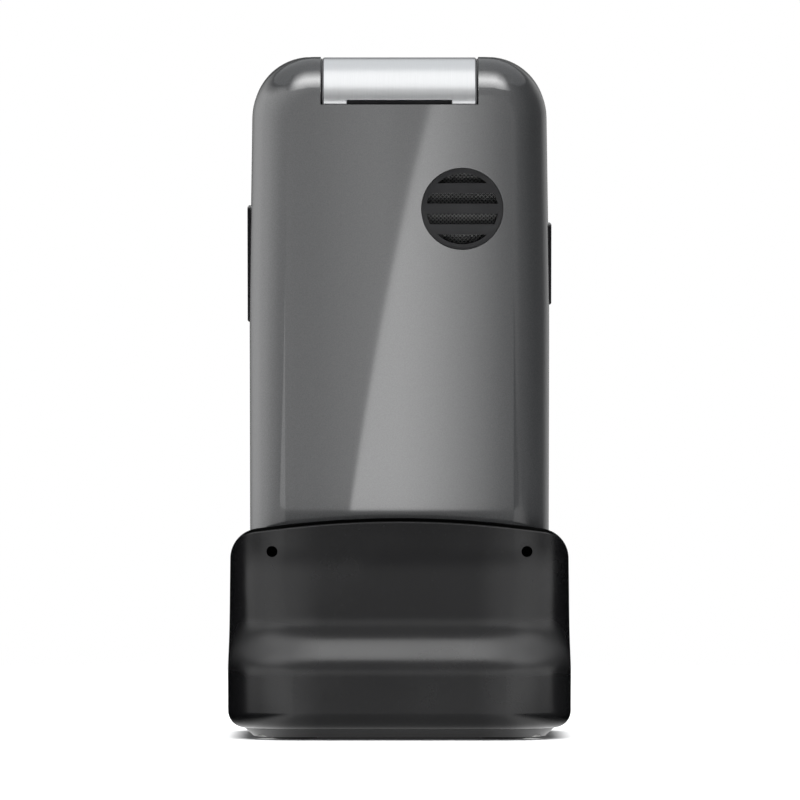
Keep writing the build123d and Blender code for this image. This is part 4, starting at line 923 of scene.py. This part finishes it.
# %% Pairs of wires
def joined(name, pieces):
    """Joins pieces into the first and names it."""
    start_fresh()
    for piece in pieces:
        piece.select_set(True)
    bpy.context.view_layer.objects.active = pieces[0]
    bpy.ops.object.join()
    pieces[0].name = name
    pieces[0].data.name = name
    return pieces[0]


first_row = -(WIRE_PAIRS - 0.5) * WIRE_PITCH
pair = joined("warp", [wavy_wire("wire_a", 1, first_row), wavy_wire("wire_b", -1, first_row + WIRE_PITCH)])
rows = pair.modifiers.new("rows", "ARRAY")
rows.use_relative_offset = False
rows.use_constant_offset = True
rows.constant_offset_displace = (0, 2 * WIRE_PITCH * MM, 0)
rows.count = WIRE_PAIRS
apply_all(pair)
print("warp wires:", 2 * WIRE_PAIRS)

# %% Weave, trim and seat the mesh
MESH_R = 6.45
GRILLE_X, MESH_Y, GRILLE_Z = 11.35, 1.425, 79.9
weft = pair.copy()
weft.data = pair.data.copy()
bpy.context.scene.collection.objects.link(weft)
weft.data.transform(moved(WIRE_PITCH / 2, 0, 0) @ turned(pi / 2, "Z") @ Matrix.Scale(-1, 4, (0, 0, 1))
                    @ moved(0, WIRE_PITCH / 2, 0))
weft.data.flip_normals()
woven = joined("woven_mesh", [pair, weft])
woven.data.transform(turned(pi / 4, "Z"))
pick(woven.data, woven.data.vertices,
     lambda vertex: sqrt(vertex.co.x**2 + vertex.co.y**2) > MESH_R * MM)
edit(woven, "VERT")
bpy.ops.mesh.delete(type="VERT")
choose_all()
bpy.ops.mesh.fill_holes(sides=WIRE_SIDES)
face_outward()
settle(woven, phone_place @ moved(GRILLE_X, MESH_Y, GRILLE_Z) @ turned(pi / 2, "X"))
woven.data.materials.append(mesh_wire)
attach(woven, "phone")
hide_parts("speaker_mesh")
print("mesh triangles:", sum(len(p.vertices) - 2 for p in woven.data.polygons))

# %% [markdown]
# ## Painted shade round the barrel
# The photograph shows a black line at each end of the hinge barrel and a black slot along its lower
# edge, gaps that lie in shade. Black pieces stand in for that shade. The lines are thin black rings
# between the barrel and the knuckles: a flat ring, made by spinning a small rectangle round the hinge
# line. The slot holds a black block that sits just below the metal.

# %% Black rings for the shade at the barrel's ends
HINGE_Y, HINGE_Z = 6.6, 100.4
BARREL_END = 13.95
GAP_SHADE_INNER_R, GAP_SHADE_OUTER_R = 3.3, 6.3
GAP_SHADE_CLEARANCE, GAP_SHADE_THICKNESS = 0.05, 0.2
SPIN_STEPS = 64
WELD = 0.000001


def spun_ring(name, inner, outer, thickness):
    """A flat ring round the x axis, spun from a rectangle."""
    start_fresh()
    bpy.ops.mesh.primitive_plane_add(size=1.0, location=(0, 0, 0))
    piece = settle(named(name), moved(0, (inner + outer) / 2, 0)
                   @ Matrix.Diagonal((thickness * MM, (outer - inner) * MM, 1, 1)))
    edit_whole(piece)
    bpy.ops.mesh.delete(type="ONLY_FACE")
    choose_all()
    bpy.ops.mesh.spin(steps=SPIN_STEPS, angle=2 * pi, center=(0, 0, 0), axis=(1, 0, 0))
    choose_all()
    bpy.ops.mesh.remove_doubles(threshold=WELD)
    bpy.ops.mesh.normals_make_consistent(inside=False)
    start_fresh()
    return piece


# Black rings fill the gaps at the barrel's ends and stand in for the shade in those gaps, as painted shade.
for side, name in ((1, "hinge_gap_shade_right"), (-1, "hinge_gap_shade_left")):
    gap_shade_ring = spun_ring(name, GAP_SHADE_INNER_R, GAP_SHADE_OUTER_R, GAP_SHADE_THICKNESS)
    middle = side * (BARREL_END + GAP_SHADE_CLEARANCE + GAP_SHADE_THICKNESS / 2)
    settle(gap_shade_ring, phone_place @ moved(middle, HINGE_Y, HINGE_Z))
    gap_shade_ring.data.materials.append(rubber)
    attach(gap_shade_ring, "phone")
print("washers:", GAP_SHADE_OUTER_R, "mm radius")

# %% Black block for the shade in the barrel's slot
SLOT_SHADE_SIZE = (18.9, 0.85, 0.9)
SLOT_SHADE_BEVEL = 0.12
SLOT_SHADE_Y, SLOT_SHADE_Z = 0.72, 99.1


def soft_block(name, size, bevel):
    """A block with rounded edges, size in mm."""
    start_fresh()
    bpy.ops.mesh.primitive_cube_add(size=1.0, location=(0, 0, 0))
    block = settle(named(name), Matrix.Diagonal((*[s * MM for s in size], 1)))
    edit_whole(block, "EDGE")
    bpy.ops.mesh.bevel(offset=bevel * MM, segments=3, affect="EDGES")
    start_fresh()
    return block


# A black block in the slot stands in for the shade in that recess, as painted shade.
slot_shade = soft_block("barrel_slot_shade", SLOT_SHADE_SIZE, SLOT_SHADE_BEVEL)
settle(slot_shade, phone_place @ moved(0, SLOT_SHADE_Y, SLOT_SHADE_Z))
slot_shade.data.materials.append(rubber)
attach(slot_shade, "lid")
print("insert, mm:", SLOT_SHADE_SIZE)

# %% [markdown]
# ## Printing on the keys
# The photograph shows only the back, but the phone opens, so the keypad is finished too. The digits are
# printed in pale ink. Ink has almost no height: each figure is text with a hair of thickness that stands
# 0.02 mm above its key and moves with it. Text reads along its own x and y, so a matrix turns it to be
# read by someone who faces the keypad.

# %% Ink and lettering
KEY_TOP_Y = 10.7
INK_HEIGHT = 0.02
INK_DEPTH = 0.06
INK_SPREAD = 0.04
ink_white = moulded("printed_white", (0.70, 0.70, 0.68), (0.78, 0.78, 0.76), 0.45, depth=0.05)
ink_green = moulded("printed_green", (0.03, 0.36, 0.09), (0.05, 0.44, 0.12), 0.42, depth=0.05)
ink_red = moulded("printed_red", (0.48, 0.02, 0.015), (0.58, 0.03, 0.02), 0.42, depth=0.05)
facing_user = Matrix(((-1, 0, 0, 0), (0, 0, 1, 0), (0, 1, 0, 0), (0, 0, 0, 1)))


def on_deck(x, z, turn=0.0):
    """The place of a flat thing that lies on the keys and faces the phone's user."""
    return phone_place @ moved(x, KEY_TOP_Y + INK_HEIGHT, z) @ facing_user @ turned(turn, "Z")


def printed(name, text, size, place, ink, body):
    """Text as a thin mesh, centred on its place."""
    start_fresh()
    bpy.ops.object.text_add(location=(0, 0, 0))
    letters = bpy.context.object
    letters.data.body = text
    letters.data.size = size * MM
    letters.data.align_x = "CENTER"
    letters.data.align_y = "CENTER"
    letters.data.extrude = INK_DEPTH / 2 * MM
    letters.data.resolution_u = 4
    letters.data.offset = INK_SPREAD * MM
    bpy.ops.object.convert(target="MESH")
    letters = named(name)
    low, high = [Vector([limit(v.co[i] for v in letters.data.vertices) for i in range(3)]) for limit in (min, max)]
    settle(letters, place @ Matrix.Translation((-(low.x + high.x) / 2, -(low.y + high.y) / 2, -high.z)))
    letters.data.materials.append(ink)
    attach(letters, body)


KEY_COLUMNS, KEY_ROWS, LOWEST_ROW_Z = 16.2, 10.4, 10.0
FIGURE_SIZE, STAR_SIZE = 6.4, 8.6
SYMBOLS = {"star": "*", "hash": "#"}
for index, figure in enumerate(FIGURES):
    row, column = divmod(index, 3)
    printed("digit_" + figure, SYMBOLS.get(figure, figure), STAR_SIZE if figure == "star" else FIGURE_SIZE,
            on_deck((1 - column) * KEY_COLUMNS, LOWEST_ROW_Z + (3 - row) * KEY_ROWS), ink_white, "key_" + figure)
print("figures:", len(FIGURES))

# %% [markdown]
# ## Signs on the call, end and menu keys
# A green handset lifts a call and a red one ends it. The handset is a bar with a pad at each end, turned
# a little inwards: three thin blocks that a boolean union makes one. The two menu keys carry short
# bars, and the ring four arrow heads.

# %% Handset sign
HANDSET_BAR = (4.4, 0.95)
HANDSET_PAD = (1.25, 1.75)
HANDSET_PAD_DROP, HANDSET_RISE = 0.42, 0.3
HANDSET_TILT = radians(16)
HANDSET_BEVEL = 0.018
OUTER_KEYS_X, CALL_Z = 18.2, 55.5


def handset(name, ink, place, body):
    """A handset lying in its own xy plane, with its hollow side down."""
    sign = soft_block(name, (*HANDSET_BAR, INK_DEPTH), HANDSET_BEVEL)
    for side in (-1, 1):
        pad = soft_block(name + "_pad", (*HANDSET_PAD, INK_DEPTH), HANDSET_BEVEL)
        settle(pad, moved(side * (HANDSET_BAR[0] - HANDSET_PAD[0]) / 2, -HANDSET_PAD_DROP, 0)
               @ turned(side * HANDSET_TILT, "Z"))
        union = sign.modifiers.new("pad", "BOOLEAN")
        union.operation = "UNION"
        union.object = pad
        apply_all(sign)
        bpy.data.objects.remove(pad)
    settle(sign, place @ moved(0, HANDSET_RISE, -INK_DEPTH / 2))
    sign.data.materials.clear()
    sign.data.materials.append(ink)
    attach(sign, body)


handset("sign_call", ink_green, on_deck(OUTER_KEYS_X, CALL_Z, turn=radians(40)), "key_call")
handset("sign_end", ink_red, on_deck(-OUTER_KEYS_X, CALL_Z), "key_end")
print("handset signs: 2")

# %% Bars and arrow heads
MENU_BAR, MENU_BAR_BEVEL, MENU_KEYS_Z = (3.6, 0.7), 0.02, 76.5
for name, x in (("key_soft_left", OUTER_KEYS_X), ("key_soft_right", -OUTER_KEYS_X)):
    bar = soft_block(name.replace("key", "sign"), (*MENU_BAR, INK_DEPTH), MENU_BAR_BEVEL)
    settle(bar, on_deck(x, MENU_KEYS_Z) @ moved(0, 0, -INK_DEPTH / 2))
    bar.data.materials.append(ink_white)
    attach(bar, name)

ARROW_SIZE, ARROW_FLATNESS, ARROW_BEVEL = 1.0, 0.75, 0.015
ARROW_R, NAV_RING_Z = 8.6, 66.0
for quarter, name in enumerate(("up", "left", "down", "right")):
    start_fresh()
    bpy.ops.mesh.primitive_circle_add(vertices=3, radius=ARROW_SIZE * MM, fill_type="NGON", location=(0, 0, 0))
    arrow = named("arrow_" + name)
    edit_whole(arrow)
    bpy.ops.mesh.extrude_region_move(TRANSFORM_OT_translate={"value": (0, 0, INK_DEPTH * MM)})
    face_outward()
    bpy.ops.mesh.bevel(offset=ARROW_BEVEL * MM, segments=1, affect="EDGES")
    settle(arrow, on_deck(0, NAV_RING_Z, turn=quarter * pi / 2) @ moved(0, ARROW_R, -INK_DEPTH)
           @ Matrix.Diagonal((1.0, ARROW_FLATNESS, 1.0, 1)))
    arrow.data.materials.append(ink_white)
    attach(arrow, "nav_ring")
print("bars and arrows: 6")

# %% [markdown]
# ## Camera lens
# On the lid's outside the camera needs its glass. The lens is a sphere flattened into a shallow dome and
# cut across its middle, with a coating that tints its reflection.

# %% Lens
LENS_R, LENS_RISE = 1.45, 0.35
LENS_SEAT_Y, LENS_Z = 18.35, 83.0
lens_glass = glossy("coated_lens", (0.010, 0.008, 0.022), (0.016, 0.012, 0.034), gloss=0.02, dulling=0.03,
                    wave=0.0, Coat_Weight=1.0, Coat_Tint=(0.55, 0.50, 0.95, 1.0), Coat_Roughness=0.01)
start_fresh()
bpy.ops.mesh.primitive_uv_sphere_add(segments=48, ring_count=24, radius=LENS_R * MM, location=(0, 0, 0))
lens = named("camera_lens")
edit_whole(lens)
bpy.ops.mesh.bisect(plane_co=(0, 0, 0), plane_no=(0, 0, 1), use_fill=True, clear_inner=True)
face_outward()
bpy.ops.transform.resize(value=(1, 1, LENS_RISE / LENS_R))
settle(lens, phone_place @ moved(0, LENS_SEAT_Y, LENS_Z) @ turned(-pi / 2, "X"))
bpy.ops.object.shade_smooth_by_angle(angle=radians(40))
lens.data.materials.append(lens_glass)
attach(lens, "lid")
print("lens rise, mm:", LENS_RISE)
